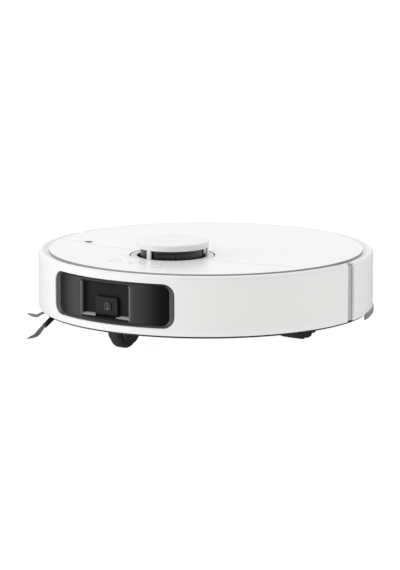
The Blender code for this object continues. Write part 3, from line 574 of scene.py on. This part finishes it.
def build_shells():
    bumper = revolved(shell_profile(), start=-BUMPER_END, end=BUMPER_END, steps=SHELL_STEPS)
    make("bumper_shell", bumper, "shell_white", "bumper", ["bumper"],
         cuts=[flared_hole(window_outline, BODY_R, LIP_ROUND)])

    rear = revolved(shell_profile(), start=REAR_START, end=360 - REAR_START, steps=SHELL_STEPS)
    cuts = [revolved(SKIRT_SPACE, start=SKIRT_SPACE_START, end=SKIRT_SPACE_END, steps=120)]
    cuts += list(vent_slots())
    for side in (-1, 1):
        slot = [(side * CONTACT_X + x, z) for x, z in rounded_rectangle(*CONTACT_HOLE, 1, 1, 5)]
        cuts.append(prism([slot], *THROUGH_BACK, "front"))
    cuts.append(prism([rounded_rectangle(*DOCK_HOLE, 1, 1, 8)], *THROUGH_BACK, "front"))
    make("rear_shell_skin", rear, "shell_white", "root", ["rear_shell"], cuts=cuts)

    for side, name in ((1, "left"), (-1, "right")):
        start, end = sorted(side * azimuth for azimuth in STRIP_ENDS)
        make(f"seam_cover_{name}", revolved(rounded(STRIP), start=start, end=end, steps=8), "strip_grey",
             "root", [f"seam_strip_{name}"])

    skirt = revolved(rounded(SKIRT), start=SKIRT_START, end=SKIRT_END, steps=130)
    make("rear_skirt_lip", skirt, "skirt_grey", "root", ["rear_skirt"], bevel=0.4)


# ---------------------------------------------------------------- front window and camera

FRAME_R, PANEL_R, PANEL_BACK_R = 173.6, 171.4, 169.4
PANEL_STEPS = 14
BEZEL_GAP = 0.35
BEZEL_INNER = (68.0, 31.7, 72.2, 8.0)     # half width, low, high, corner
PANEL = (67.7, 32.0, 71.9, 7.7)
BAY = (32.2, 32.8, 70.4, 4.0)
BAY_X = -3.2
BAY_BACK, BAY_WALL = -161.0, 1.5
# The bezel's section: share of the way from its outer outline to its inner one, and radius.
BEZEL_SECTION = ((0.0, 169.7), (0.0, 173.1), (0.015, 173.4), (0.05, FRAME_R), (0.16, FRAME_R), (0.21, 173.45),
                 (0.60, 172.6), (0.93, 171.9), (0.98, 171.7), (1.0, 171.4), (1.0, 169.7))
# The camera's recess: inset from its outline and radius at its mouth, inset and depth left at its foot.
BAY_MOUTH = ((0.3, 170.6), (0.4, 171.0), (0.75, 171.25), (1.2, 171.2), (1.6, 170.8), (1.8, 170.2))
BAY_FOOT = ((1.9, 0.9), (2.2, 0.2), (2.9, 0.0))
# The rounded edge at each side of the recess: inset from its outline, and radius.
RECESS_EDGE = ((0.1, 171.0), (0.5, 171.6), (1.2, 171.75), (2.0, 171.3), (2.4, 170.2), (2.4, 168.4),
               (0.8, 168.4))
LEDGE_OUTER = 30.2
DOME_R, DOME_RISE, DOME_STEPS = 1.7, 0.9, 8


def ring_on_front(outer, inner, section):
    """A frame between two outlines. The section is (share of the way in, radius), around its edge."""
    return lofted([on_body(mixed(outer, inner, share), radius) for share, radius in section], closed=True)


def build_window():
    outer, inner = window_outline(-BEZEL_GAP), rounded_rectangle(*BEZEL_INNER)
    # The bezel is black, painted a lighter grey for the highlight along its bevel.
    make("window_bezel", ring_on_front(outer, inner, BEZEL_SECTION), "bezel_black_painted_highlight", "bumper",
         ["window_frame"], sharp=50)

    edge = rounded_rectangle(*PANEL)
    hole = [(BAY_X + x, z) for x, z in rounded_rectangle(*BAY)]
    section = [(0.0, PANEL_BACK_R), (0.0, 171.1), (0.004, 171.3)]
    section += [(0.012 + 0.976 * i / PANEL_STEPS, PANEL_R) for i in range(PANEL_STEPS + 1)]
    section += [(0.996, 171.3), (1.0, 171.1), (1.0, PANEL_BACK_R)]
    section += [(1.0 - i / PANEL_STEPS, PANEL_BACK_R) for i in range(1, PANEL_STEPS)]
    make("window_glass", ring_on_front(edge, hole, section), "window_black", "bumper", ["window_panel"],
         sharp=50)
    build_bay()


def build_bay():
    half, low, high, corner = BAY

    def rim(inset):
        outline = rounded_rectangle(half - inset, low + inset, high - inset, max(corner - inset, 0.4))
        return [(BAY_X + x, z) for x, z in outline]

    wall = BAY_BACK - BAY_WALL
    rings = [flat_front(rim(0.3), BAY_BACK)]
    rings += [on_body(rim(inset), radius) for inset, radius in BAY_MOUTH]
    rings += [flat_front(rim(inset), wall - depth) for inset, depth in BAY_FOOT]
    make("camera_recess", lofted(rings), "recess_black", "bumper", ["camera_bay"],
         sharp=50)

    floor = low + 1.8
    for side, name in ((1, "left"), (-1, "right")):
        ends = []
        for ledge_inner, y, top in ((12.5, -167.8, floor + 0.5), (16.5, wall, floor + 2.0)):
            corners = ((ledge_inner, floor), (LEDGE_OUTER, floor), (LEDGE_OUTER, top), (ledge_inner, top))
            ends.append([(BAY_X + side * x, y, h) for x, h in corners])
        # The ledges are painted light grey: a painted highlight where the recess floor catches the light from
        # above.
        make(f"recess_ledge_{name}", lofted(ends), "trim_grey", "bumper", bevel=0.3)

        rings = []
        for i, (x, _) in enumerate(rim(1.1)):
            if side * (x - BAY_X) > half - 2.6:
                rings.append([on_body([rim(inset)[i]], radius)[0] for inset, radius in RECESS_EDGE])
        # The rounded edges at the recess's sides are painted grey: a painted highlight.
        make(f"recess_edge_{name}", lofted(rings), "rim_painted_highlight", "bumper")

    low_corner, high_corner = extent("camera_module")
    middle, wide = (low_corner[0] + high_corner[0]) / 2, (high_corner[0] - low_corner[0]) / 2
    face = [(middle + x, z) for x, z in rounded_rectangle(wide, low_corner[2], high_corner[2], 2.4, 2, 2, 6)]
    module = prism([face], low_corner[1], high_corner[1], "front")
    make("camera_housing", module, "camera_black", "bumper", ["camera_module"],
         bevel=0.7)
    build_lens(low_corner[1])


def build_lens(face_y):
    """The lens: a barrel with a cone inside its mouth, and a glass dome at its bottom."""
    low_corner, high_corner = extent("camera_lens")
    centre_x, centre_h = (low_corner[0] + high_corner[0]) / 2, (low_corner[2] + high_corner[2]) / 2
    front, radius = low_corner[1], (high_corner[0] - low_corner[0]) / 2
    back = face_y - 0.3
    barrel = rounded([(0.0, -back, 0), (radius, -back, 0), (radius, -front, 0.3), (radius - 0.9, -front, 0.2),
                      (radius - 2.2, -back + 0.35, 0), (0.0, -back + 0.35, 0)], 3)
    dome = [(0.0, -back + 0.3)]
    for i in range(DOME_STEPS + 1):
        a = math.pi / 2 * (1 - i / DOME_STEPS)
        dome.append((DOME_R * math.sin(a), -back + 0.3 + DOME_RISE * math.cos(a)))

    def face_front(x, y, h):
        return centre_x + x, -h, centre_h - y

    barrel, dome = (moved(revolved(profile, steps=48), face_front) for profile in (barrel, dome))
    # The barrel takes the same lighter black: a painted highlight in its cone.
    make("lens_barrel", barrel, "bezel_black_painted_highlight", "bumper", ["camera_lens"])
    make("lens_glass", dome, "lens_glass", "bumper")


# ---------------------------------------------------------------- top plates

PLATE_R, PLATE_LOW, PLATE_TOP = 164.0, 80.9, 83.0
SEAM_GAP, SEAM_MIDDLE, SEAM_SIDE, SEAM_RIM = 0.5, -59.5, -48.5, -48.1
JOG_INNER, JOG_OUTER = 97.0, 124.0
TURRET_X, TURRET_Y, _ = joint_place("lidar_head_spin")
TURRET_HOLE_R = 43.85
BUTTON_XS, BUTTON_Y, BUTTON_R, BUTTON_GAP = (-25.0, 0.0, 25.0), -123.0, 5.5, 0.4
BUTTON_FLANGE_R = BUTTON_R + 1.6
NOTCH_R, NOTCH_AT = 5.0, (-120.0, -46.0)
TRAY_GAP = 1.0


def seam_side(gap, steps=18):
    """The seam from the rim to the turret's hole, on the robot's left."""
    points = []
    for i in range(steps + 1):
        t = i / steps
        ease = t * t * (3 - 2 * t)
        x = JOG_OUTER + (JOG_INNER - JOG_OUTER) * t
        points.append((x, SEAM_SIDE + (SEAM_MIDDLE - SEAM_SIDE) * ease + gap))
    return points


def plate_outline(front):
    gap = -SEAM_GAP / 2 if front else SEAM_GAP / 2
    reach = math.degrees(math.acos(-(SEAM_RIM + gap) / PLATE_R))
    hole = math.degrees(math.acos(-(SEAM_MIDDLE + gap - TURRET_Y) / TURRET_HOLE_R))
    left = seam_side(gap)
    right = [(-x, y) for x, y in reversed(left)]
    if front:
        rim = arc(PLATE_R, -reach, reach, 150)
        mouth = arc(TURRET_HOLE_R, hole, -hole, 60, (0, TURRET_Y))
    else:
        rim = arc(PLATE_R, -reach, reach - 360, 220)
        mouth = arc(TURRET_HOLE_R, hole, 360 - hole, 60, (0, TURRET_Y))
    return rim + left + mouth + right


def circle(radius, centre, steps=48):
    return arc(radius, 0, 360 - 360 / steps, steps - 1, centre)


def paint_side_shade(piece, look):
    """Gives a flat piece's upright faces a second look: painted shade, darker than the piece's top."""
    piece.data.materials.append(LOOKS[look])
    for face in piece.data.polygons:
        if abs(face.normal.z) < 0.5:
            face.material_index = 1


def build_top():
    holes = [circle(BUTTON_R + BUTTON_GAP, (x, BUTTON_Y)) for x in BUTTON_XS]
    deck = prism([plate_outline(True)] + holes, PLATE_LOW, PLATE_TOP)
    # Both plates' upright edge faces get painted shade, a grey darker than their tops.
    paint_side_shade(make("deck_plate", deck, "gloss_white", "root", ["front_deck"], bevel=0.5), "plate_side_painted_shade")
    notch = prism([circle(NOTCH_R, NOTCH_AT)], 78.0, 86.0)
    lid = prism([plate_outline(False)], PLATE_LOW, PLATE_TOP)
    paint_side_shade(make("lid_plate", lid, "gloss_white", "lid", ["lid"], cuts=[notch], bevel=0.5), "plate_side_painted_shade")

    button = rounded([(0.0, 82.75, 0), (3.6, 82.75, 1.5), (4.6, 83.0, 0.4), (BUTTON_R, 83.0, 0.45),
                      (BUTTON_R, 79.6, 0), (BUTTON_FLANGE_R, 79.6, 0), (BUTTON_FLANGE_R, 78.4, 0),
                      (0.0, 78.4, 0)])
    for x, name in zip(BUTTON_XS, ("button_right", "button_middle", "button_left")):
        make(name + "_cap", revolved(button, (x, BUTTON_Y), steps=SMALL), "gloss_white", name, [name])

    low, high = extent("inner_tray")
    box_low, box_high = extent("dust_box")
    half, front, back = box_high[0] + TRAY_GAP, box_low[1] - TRAY_GAP, box_high[1] + TRAY_GAP
    start = math.degrees(math.acos(-low[1] / high[0]))
    rim = arc(high[0], start, 360 - start, 220)
    opening = [(-half, front), (half, front), (half, back), (-half, back)]
    make("tray_plate", prism([rim, opening], low[2], high[2]), "trim_grey", "root", ["inner_tray"], bevel=0.4)


# ---------------------------------------------------------------- turret

POST_AZIMUTH, POST_HALF = -4.5, 3.6
POST = ((34.9, 82.0), (37.1, 82.0), (37.1, 93.0), (34.9, 93.0))
LENS_AZIMUTH, LENS_HALF = 24.0, 10.0


def on_head(outline, front, back):
    """An outline drawn out between two distances from the head's axis, where its lens is."""
    shape = shifted(prism([outline], front, back, "front"), dy=TURRET_Y)
    return swung(shape, LENS_AZIMUTH, (TURRET_X, TURRET_Y))


def build_turret():
    centre = (TURRET_X, TURRET_Y)
    base = rounded([(46.5, 80.4, 0.3), (46.5, 70.0, 0), (32.0, 70.0, 0), (32.0, 72.0, 0), (35.5, 72.0, 0),
                    (35.5, 79.2, 0.3), (37.6, 79.2, 0.3), (37.6, 72.0, 0), (44.5, 72.0, 0),
                    (44.5, 80.4, 0.3)])
    make("turret_well", revolved(base, centre), "black_plastic", "root", ["turret_base"])

    cap = [(0.0, 99.3)] + bezier((20.0, 99.15), (30.0, 99.0), (34.5, 98.75), (35.8, 98.4), 8)
    cap += bezier((35.8, 98.4), (36.9, 98.1), (37.5, 97.6), (37.5, 96.6), 6)[1:]
    cap += rounded([(37.5, 91.8, 0.4), (35.8, 91.8, 0.3), (35.8, 95.2, 0)], 3) + [(0.0, 95.2)]
    foot = rounded([(42.7, 82.9, 0.5), (42.7, 80.9, 0.2), (36.2, 80.9, 0.2), (36.2, 82.9, 0.4)], 4)
    posts = []
    for i in range(3):
        azimuth = POST_AZIMUTH + 120 * i
        posts.append(revolved(POST, centre, azimuth - POST_HALF, azimuth + POST_HALF, 6))
    make("turret_cap", revolved(cap, centre), "shell_white", "turret_cover", ["turret_cover"],
         joins=[revolved(foot, centre)] + posts)

    head = rounded([(0.0, 93.2, 0), (33.0, 93.2, 1.4), (33.0, 75.5, 0.6), (30.0, 74.5, 0.4), (30.0, 64.2, 0),
                    (0.0, 64.2, 0)])
    space = on_head(rounded_rectangle(LENS_HALF + 1, 81.9, 89.1, 1.2, 1, 1, 5), -40.6, -30.6)
    make("lidar_drum", revolved(head, centre), "drum_black", "lidar_head", ["lidar_head"],
         cuts=[space])
    pane = on_head(rounded_rectangle(LENS_HALF, 82.6, 88.4, 1.4, 1, 1, 6), -32.25, -30.95)
    make("lidar_pane", pane, "window_black", "lidar_head", ["lidar_lens"], bevel=0.3)


# ---------------------------------------------------------------- underside

PAN_WALL, PAN_TOP, PAN_THICK = 167.0, 34.0, 2.5
FLANGE_R, FLANGE_LOW, FLANGE_HIGH, FLAT_R = 172.3, 20.5, 22.0, 120.0
HUB_X, HUB_Y, _ = joint_place("side_brush_spin")
BOWL_R, BOWL_ROOF_R, BOWL_ROOF, BOWL_THICK = 37.0, 11.0, 21.3, 2.0
INSIDE_R = 166.0
CASTER_HOLE_R, MOTOR_HOLE_R = 28.0, 4.0
WHEEL_WELL = (96.5, 131.0, -42.0, 45.0)           # inner, outer, front, back
CLIFF_R, CLIFF_PLACES = 6.3, ((20, 145), (-20, 145), (140, 140), (-140, 140))


def room_for(name, gap, low, high):
    """A cutter round a CAD node's place in plan."""
    near, far = extent(name)
    return tall_box(near[0] - gap, far[0] + gap, near[1] - gap, far[1] + gap, low, high)


def build_chassis():
    inner = PAN_WALL - PAN_THICK
    slope = (FLANGE_LOW - UNDERSIDE) / (FLANGE_R - FLAT_R)
    foot = UNDERSIDE + PAN_THICK + slope * (inner - FLAT_R)
    pan = [(0.0, UNDERSIDE), (60.0, UNDERSIDE), (FLAT_R, UNDERSIDE), (FLANGE_R - 0.3, FLANGE_LOW),
           (FLANGE_R, FLANGE_LOW + 0.3), (FLANGE_R, FLANGE_HIGH), (PAN_WALL, FLANGE_HIGH),
           (PAN_WALL, PAN_TOP), (inner, PAN_TOP), (inner, foot), (FLAT_R, UNDERSIDE + PAN_THICK),
           (0.0, UNDERSIDE + PAN_THICK)]
    hub = (HUB_X, HUB_Y)
    steep = (BOWL_ROOF - UNDERSIDE) / (BOWL_R - BOWL_ROOF_R)
    caster_x, caster_y, _ = joint_place("caster_swivel")

    bowl = [(0.0, BOWL_ROOF + BOWL_THICK), (BOWL_ROOF_R + BOWL_THICK, BOWL_ROOF + BOWL_THICK),
            (BOWL_R - 1.0, UNDERSIDE + 1.0), (0.0, UNDERSIDE + 1.0)]
    hollow = [(0.0, BOWL_ROOF), (BOWL_ROOF_R, BOWL_ROOF), (BOWL_R + 4.0 / steep, UNDERSIDE - 4.0),
              (0.0, UNDERSIDE - 4.0)]
    inside_foot = UNDERSIDE + 0.5 + slope * (INSIDE_R - FLAT_R)
    inside = [(0.0, PAN_TOP), (INSIDE_R, PAN_TOP), (INSIDE_R, inside_foot), (FLAT_R, UNDERSIDE + 0.5),
              (0.0, UNDERSIDE + 0.5)]
    bowl = common(revolved(bowl, hub, steps=SMALL), revolved(inside))
    window_x = WINDOW[0] + 6.0
    cuts = [revolved(hollow, hub, steps=SMALL),
            room_for("brush_guard", 0.5, 5.0, 20.0),
            prism([circle(CASTER_HOLE_R, (caster_x, caster_y), SMALL)], 5.0, 35.0),
            prism([circle(MOTOR_HOLE_R, hub)], 5.0, 35.0),
            room_for("battery_cover", 0.4, 5.0, 32.0),
            tall_box(-window_x, window_x, -BODY_R, -140.0, WINDOW[1] - 1.1, PAN_TOP + 6.0)]
    well_inner, well_outer, well_front, well_back = WHEEL_WELL
    for side in (-1, 1):
        x0, x1 = sorted((side * well_inner, side * well_outer))
        cuts.append(tall_box(x0, x1, well_front, well_back, 5.0, 40.0))
    for azimuth, radius in CLIFF_PLACES:
        cuts.append(prism([circle(CLIFF_R, around(azimuth, radius))], 5.0, 30.0))
    make("chassis_pan", revolved(pan), "black_plastic", "root", ["chassis"], joins=[bowl], cuts=cuts,
         sharp=30.0)


def capsule(start, start_r, end, end_r, steps=20):
    """The outline round two circles."""
    (u0, v0), (u1, v1) = start, end
    length = math.hypot(u1 - u0, v1 - v0)
    along = math.atan2(v1 - v0, u1 - u0)
    lean = math.acos((start_r - end_r) / length)
    points = []
    for (u, v), radius, first, last in (((u0, v0), start_r, along + lean, along - lean + 2 * math.pi),
                                        ((u1, v1), end_r, along - lean, along + lean)):
        for i in range(steps + 1):
            a = first + (last - first) * i / steps
            points.append((u + radius * math.cos(a), v + radius * math.sin(a)))
    return points


CHEEK_X, CHEEK_HALF = 9.4, 1.5


def build_caster():
    x, y, h = joint_place("caster_roll")
    _, swivel_y, _ = joint_place("caster_swivel")
    half, radius = 7.0, h
    tread = rounded([(2.4, -half, 0), (radius - 3.2, -half, 0.6), (radius, -half + 2.0, 2.6),
                     (radius, half - 2.0, 2.6), (radius - 3.2, half, 0.6), (2.4, half, 0)], 6)
    make("caster_roller", axle_turned(tread, (x, y, h)), "tyre_rubber", "caster_wheel", ["caster_wheel"])

    base = rounded([(0.0, 47.0, 0), (5.0, 47.0, 0.4), (5.0, 39.5, 0), (20.2, 39.5, 0.4), (20.2, 36.8, 0.4),
                    (0.0, 36.8, 0)], 3)
    cheek = [capsule((y, h), 12.3, (y + 11.0, 27.0), 10.5)]
    cheeks = [prism(cheek, side * CHEEK_X - CHEEK_HALF, side * CHEEK_X + CHEEK_HALF, "side")
              for side in (-1, 1)]
    rod = [(0.0, -10.4), (1.8, -10.4), (2.0, -10.2), (2.0, 10.2), (1.8, 10.4), (0.0, 10.4)]
    axle = axle_turned(rod, (x, y, h), steps=32)
    make("caster_yoke", revolved(base, (x, swivel_y), steps=SMALL), "black_plastic", "caster_fork",
         ["caster_fork"], joins=cheeks + [axle], bevel=0.35)


def tread_half(phase, lugs=18, depth=1.6, radius=37.0):
    pitch = 360 / lugs
    lug = ((-0.38, radius - depth), (-0.33, radius - depth * 0.6), (-0.25, radius), (0.25, radius),
           (0.33, radius - depth * 0.6), (0.38, radius - depth))
    return [around((i + phase + offset) * pitch, r) for i in range(lugs) for offset, r in lug]


def build_wheels():
    for side, name in ((1, "left"), (-1, "right")):
        x, y, h = joint_place(f"wheel_{name}_roll")
        halves = []
        for low, high, phase in ((-11.0, 0.0, 0.0), (0.0, 11.0, 0.5)):
            halves.append(prism([tread_half(phase), circle(30.1, (0, 0), SMALL)], low, high, "side"))
        make(f"tyre_{name}", shifted(merged(*halves), x, y, h), "tyre_rubber", f"wheel_{name}",
             [f"wheel_tyre_{name}"], bevel=0.5, bevel_steps=2)

        face = rounded([(0.0, 7.6, 0), (6.0, 7.6, 0.8), (7.0, 6.6, 0.4), (22.5, 6.6, 1.0), (25.5, 9.8, 1.0),
                        (29.5, 9.8, 0.8), (29.5, -9.8, 0.8), (0.0, -9.8, 0)], 4)
        slots = [prism([capsule(around(60 * i, 13.0), 2.6, around(60 * i, 18.5), 3.4, 10)], 5.0, 12.0)
                 for i in range(6)]
        hub_slots = [moved(slot, lambda px, py, ph: (x + side * ph, y + px, h + py)) for slot in slots]
        make(f"rim_{name}", axle_turned(face, (x, y, h), side), "inner_grey", f"wheel_{name}",
             [f"wheel_hub_{name}"], cuts=hub_slots, bevel=0.25, bevel_steps=2)


# ---------------------------------------------------------------- side brush

STEM_REACH, STEM_END, STEM_SLOPE, FIRST_ARM = 42.0, 8.2, 18.3, 9.4
BRISTLE_REACH, BRISTLE_LOW = 79.1, 1.4
STEM_START, STEM_STEPS = 8.6, 18
STRANDS, STRAND_STEPS = 46, 12


def tuft_centre(t):
    """Reach and height of a tuft's middle, from its stem (0) to its tip (1)."""
    drop = min(1.0, t / 0.55)
    reach = STEM_REACH - 0.6 + (BRISTLE_REACH - STEM_REACH + 0.6) * t
    return reach, STEM_END - (STEM_END - BRISTLE_LOW) * drop * drop * (3 - 2 * drop)


def build_side_brush():
    slope = math.tan(math.radians(STEM_SLOPE))
    hub = rounded([(0.0, 23.0, 0), (2.5, 23.0, 0.3), (2.5, 20.4, 0), (8.0, 20.4, 0.3), (10.0, 18.8, 0.6),
                   (10.0, 16.0, 0.5), (8.4, 14.8, 0.5), (3.0, 14.8, 0.3), (2.4, 15.6, 0), (0.0, 15.6, 0)], 3)
    dice = random.Random(11)
    stems = []
    for i in range(3):
        azimuth = FIRST_ARM - 120 * i
        rings = []
        for k in range(STEM_STEPS + 1):
            reach = STEM_START + (STEM_REACH - STEM_START) * k / STEM_STEPS
            middle = STEM_END + (STEM_REACH - reach) * slope
            rib = 0.28 if k % 2 and k > 8 else 0.0
            half, tall = 3.15 - 0.4 * k / STEM_STEPS - rib, 1.55
            section = rounded([(-half, -tall, 0.7), (half, -tall, 0.7), (half, tall, 0.7),
                               (-half, tall, 0.7)], 3)
            rings.append([(u, -reach, middle + v) for u, v in section])
        stems.append(shifted(swung(lofted(rings), azimuth), HUB_X, HUB_Y))
        strands = []
        for _ in range(STRANDS):
            angle, spread = dice.uniform(0, 2 * math.pi), math.sqrt(dice.random())
            across, upward = spread * math.cos(angle), spread * math.sin(angle)
            length = dice.uniform(0.88, 1.0)
            path, radii = [], []
            for k in range(STRAND_STEPS + 1):
                t = length * k / STRAND_STEPS
                reach, height = tuft_centre(t)
                wide = 1.5 + 1.9 * math.sin(math.pi * min(1.0, t / 0.95)) ** 0.8 - 1.1 * t
                tall = 1.2 + 0.8 * math.sin(math.pi * min(1.0, t)) - 0.8 * t
                path.append((across * wide, -reach, max(0.45, height + upward * tall)))
                radii.append(0.34 - 0.2 * t * t)
            strands.append(tube(path, radii, 5))
        tuft = shifted(swung(merged(*strands), azimuth), HUB_X, HUB_Y)
        make(f"bristle_tuft_{i + 1}", tuft, "tuft_grey", "side_brush", [f"side_bristles_{i + 1}"],
             sharp=80)
    make("brush_spider", revolved(hub, (HUB_X, HUB_Y), steps=SMALL), "stem_black", "side_brush",
         ["side_brush"], joins=stems, sharp=32)


# ---------------------------------------------------------------- studio

def look_at(item, target):
    item.rotation_euler = (Vector(target) - item.location).to_track_quat("-Z", "Y").to_euler()


def area_light(name, place, target, size, power):
    light = bpy.data.lights.new(name, "AREA")
    light.shape = "RECTANGLE"
    light.size, light.size_y = size
    light.energy = power
    item = bpy.data.objects.new(name, light)
    bpy.context.scene.collection.objects.link(item)
    item.location = place
    look_at(item, target)


# Each light: its name, its place, what it points at, its size and its power.
LIGHTS = (("overhead", (-0.1, 0.1, 1.5), (0, 0, 0), (1.5, 1.5), 7.0),
          ("front_left", (-1.3, -1.3, 0.75), (0, 0, 0.03), (1.0, 0.7), 2.6))
# The room's strength: from these two heights of a direction, to these two strengths.
ROOM = (-0.03, 0.10, 0.10, 0.86)
# Azimuth, elevation, the angles away where it begins and is complete, and its values at those.
SHADE = (45.0, 12.0, 70.0, 5.0, 1.0, 0.3)
STRIP_LIGHT = (-40.0, -9.0, 46.0, 10.0, 0.0, 1.35)
FLOOR_REACH, FLOOR_GLOW, FLOOR_COLOUR = 40.0, 0.98, (0.3, 0.3, 0.3)


def build_world():
    """An even room, dark below the horizon and darker on the robot's left, with one soft light on its
    right for the black glass to show."""
    world = bpy.data.worlds.new("studio")
    bpy.context.scene.world = world
    world.use_nodes = True
    tree = world.node_tree
    tree.nodes["Background"].inputs["Color"].default_value = (1.0, 1.0, 1.0, 1.0)
    way = tree.nodes.new("ShaderNodeTexCoord").outputs["Generated"]

    def spread(value, low, high, start, end):
        ramp = tree.nodes.new("ShaderNodeMapRange")
        ramp.interpolation_type = "SMOOTHSTEP"
        for key, number in (("From Min", low), ("From Max", high), ("To Min", start), ("To Max", end)):
            ramp.inputs[key].default_value = number
        tree.links.new(value, ramp.inputs["Value"])
        return ramp.outputs["Result"]

    def combine(first, second, operation):
        step = node(tree, "ShaderNodeMath", operation=operation)
        tree.links.new(first, step.inputs[0])
        tree.links.new(second, step.inputs[1])
        return step.outputs[0]

    def lobe(azimuth, elevation, wide, narrow, start, end):
        """A value that changes smoothly towards one direction."""
        aim = node(tree, "ShaderNodeVectorMath", operation="DOT_PRODUCT")
        x, y = around(azimuth, math.cos(math.radians(elevation)))
        aim.inputs[1].default_value = (x, y, math.sin(math.radians(elevation)))
        tree.links.new(way, aim.inputs[0])
        outer, inner = math.cos(math.radians(wide)), math.cos(math.radians(narrow))
        return spread(aim.outputs["Value"], outer, inner, start, end)

    axes = tree.nodes.new("ShaderNodeSeparateXYZ")
    tree.links.new(way, axes.inputs[0])
    room = spread(axes.outputs["Z"], *ROOM)
    shade = lobe(*SHADE)
    strip = lobe(*STRIP_LIGHT)
    strength = combine(combine(room, shade, "MULTIPLY"), strip, "ADD")
    tree.links.new(strength, tree.nodes["Background"].inputs["Strength"])


def build_studio():
    bpy.context.scene.view_settings.view_transform = "Standard"
    build_world()
    for light in LIGHTS:
        area_light(*light)

    mesh = bpy.data.meshes.new("floor")
    corners = [(x * FLOOR_REACH, y * FLOOR_REACH, -UNDERSIDE * MM)
               for x, y in ((-1, -1), (1, -1), (1, 1), (-1, 1))]
    mesh.from_pydata(corners, [], [(0, 1, 2, 3)])
    floor = bpy.data.objects.new("floor", mesh)
    bpy.context.scene.collection.objects.link(floor)
    # A light table: white from below, so that the object throws next to no shadow.
    paper, tree, shader, vector = start_material("floor_paper", FLOOR_COLOUR, roughness=0.9,
                                                 Emission_Strength=FLOOR_GLOW)
    shader.inputs["Emission Color"].default_value = (1.0, 1.0, 1.0, 1.0)
    shader.inputs["Specular IOR Level"].default_value = 0.0
    vary_roughness(tree, shader, vector, 0.85, 0.95, 30.0)
    mesh.materials.append(paper)
    floor.visible_glossy = False


CAMERA_AZIMUTH, CAMERA_ELEVATION, CAMERA_DISTANCE, CAMERA_LENS = 35.4, 10.1, 2.5, 150.6
LOOK_AT = Vector((0.0, 0.0, 0.0437))
AIM_RIGHT, AIM_UP = -0.00618, -0.0131


def build_camera():
    a, e = math.radians(CAMERA_AZIMUTH), math.radians(CAMERA_ELEVATION)
    back = Vector((math.sin(a) * math.cos(e), -math.cos(a) * math.cos(e), math.sin(e)))
    right = Vector((math.cos(a), math.sin(a), 0.0))
    up = back.cross(right)
    data = bpy.data.cameras.new("camera")
    data.lens = CAMERA_LENS
    camera = bpy.data.objects.new("camera", data)
    bpy.context.scene.collection.objects.link(camera)
    camera.location = LOOK_AT + back * CAMERA_DISTANCE
    look_at(camera, LOOK_AT + right * AIM_RIGHT + up * AIM_UP)
    bpy.context.scene.camera = camera


def dress_cad_nodes():
    """Every CAD node that still shows gets its slot's material."""
    for part in frame["record"]["subparts"]:
        item = frame["nodes"][part["node"]]
        item.data.materials.clear()
        item.data.materials.append(LOOKS[part["material_slot"]])


dress_cad_nodes()
build_shells()
build_window()
build_top()
build_turret()
build_chassis()
build_caster()
build_wheels()
build_side_brush()
build_studio()
build_camera()
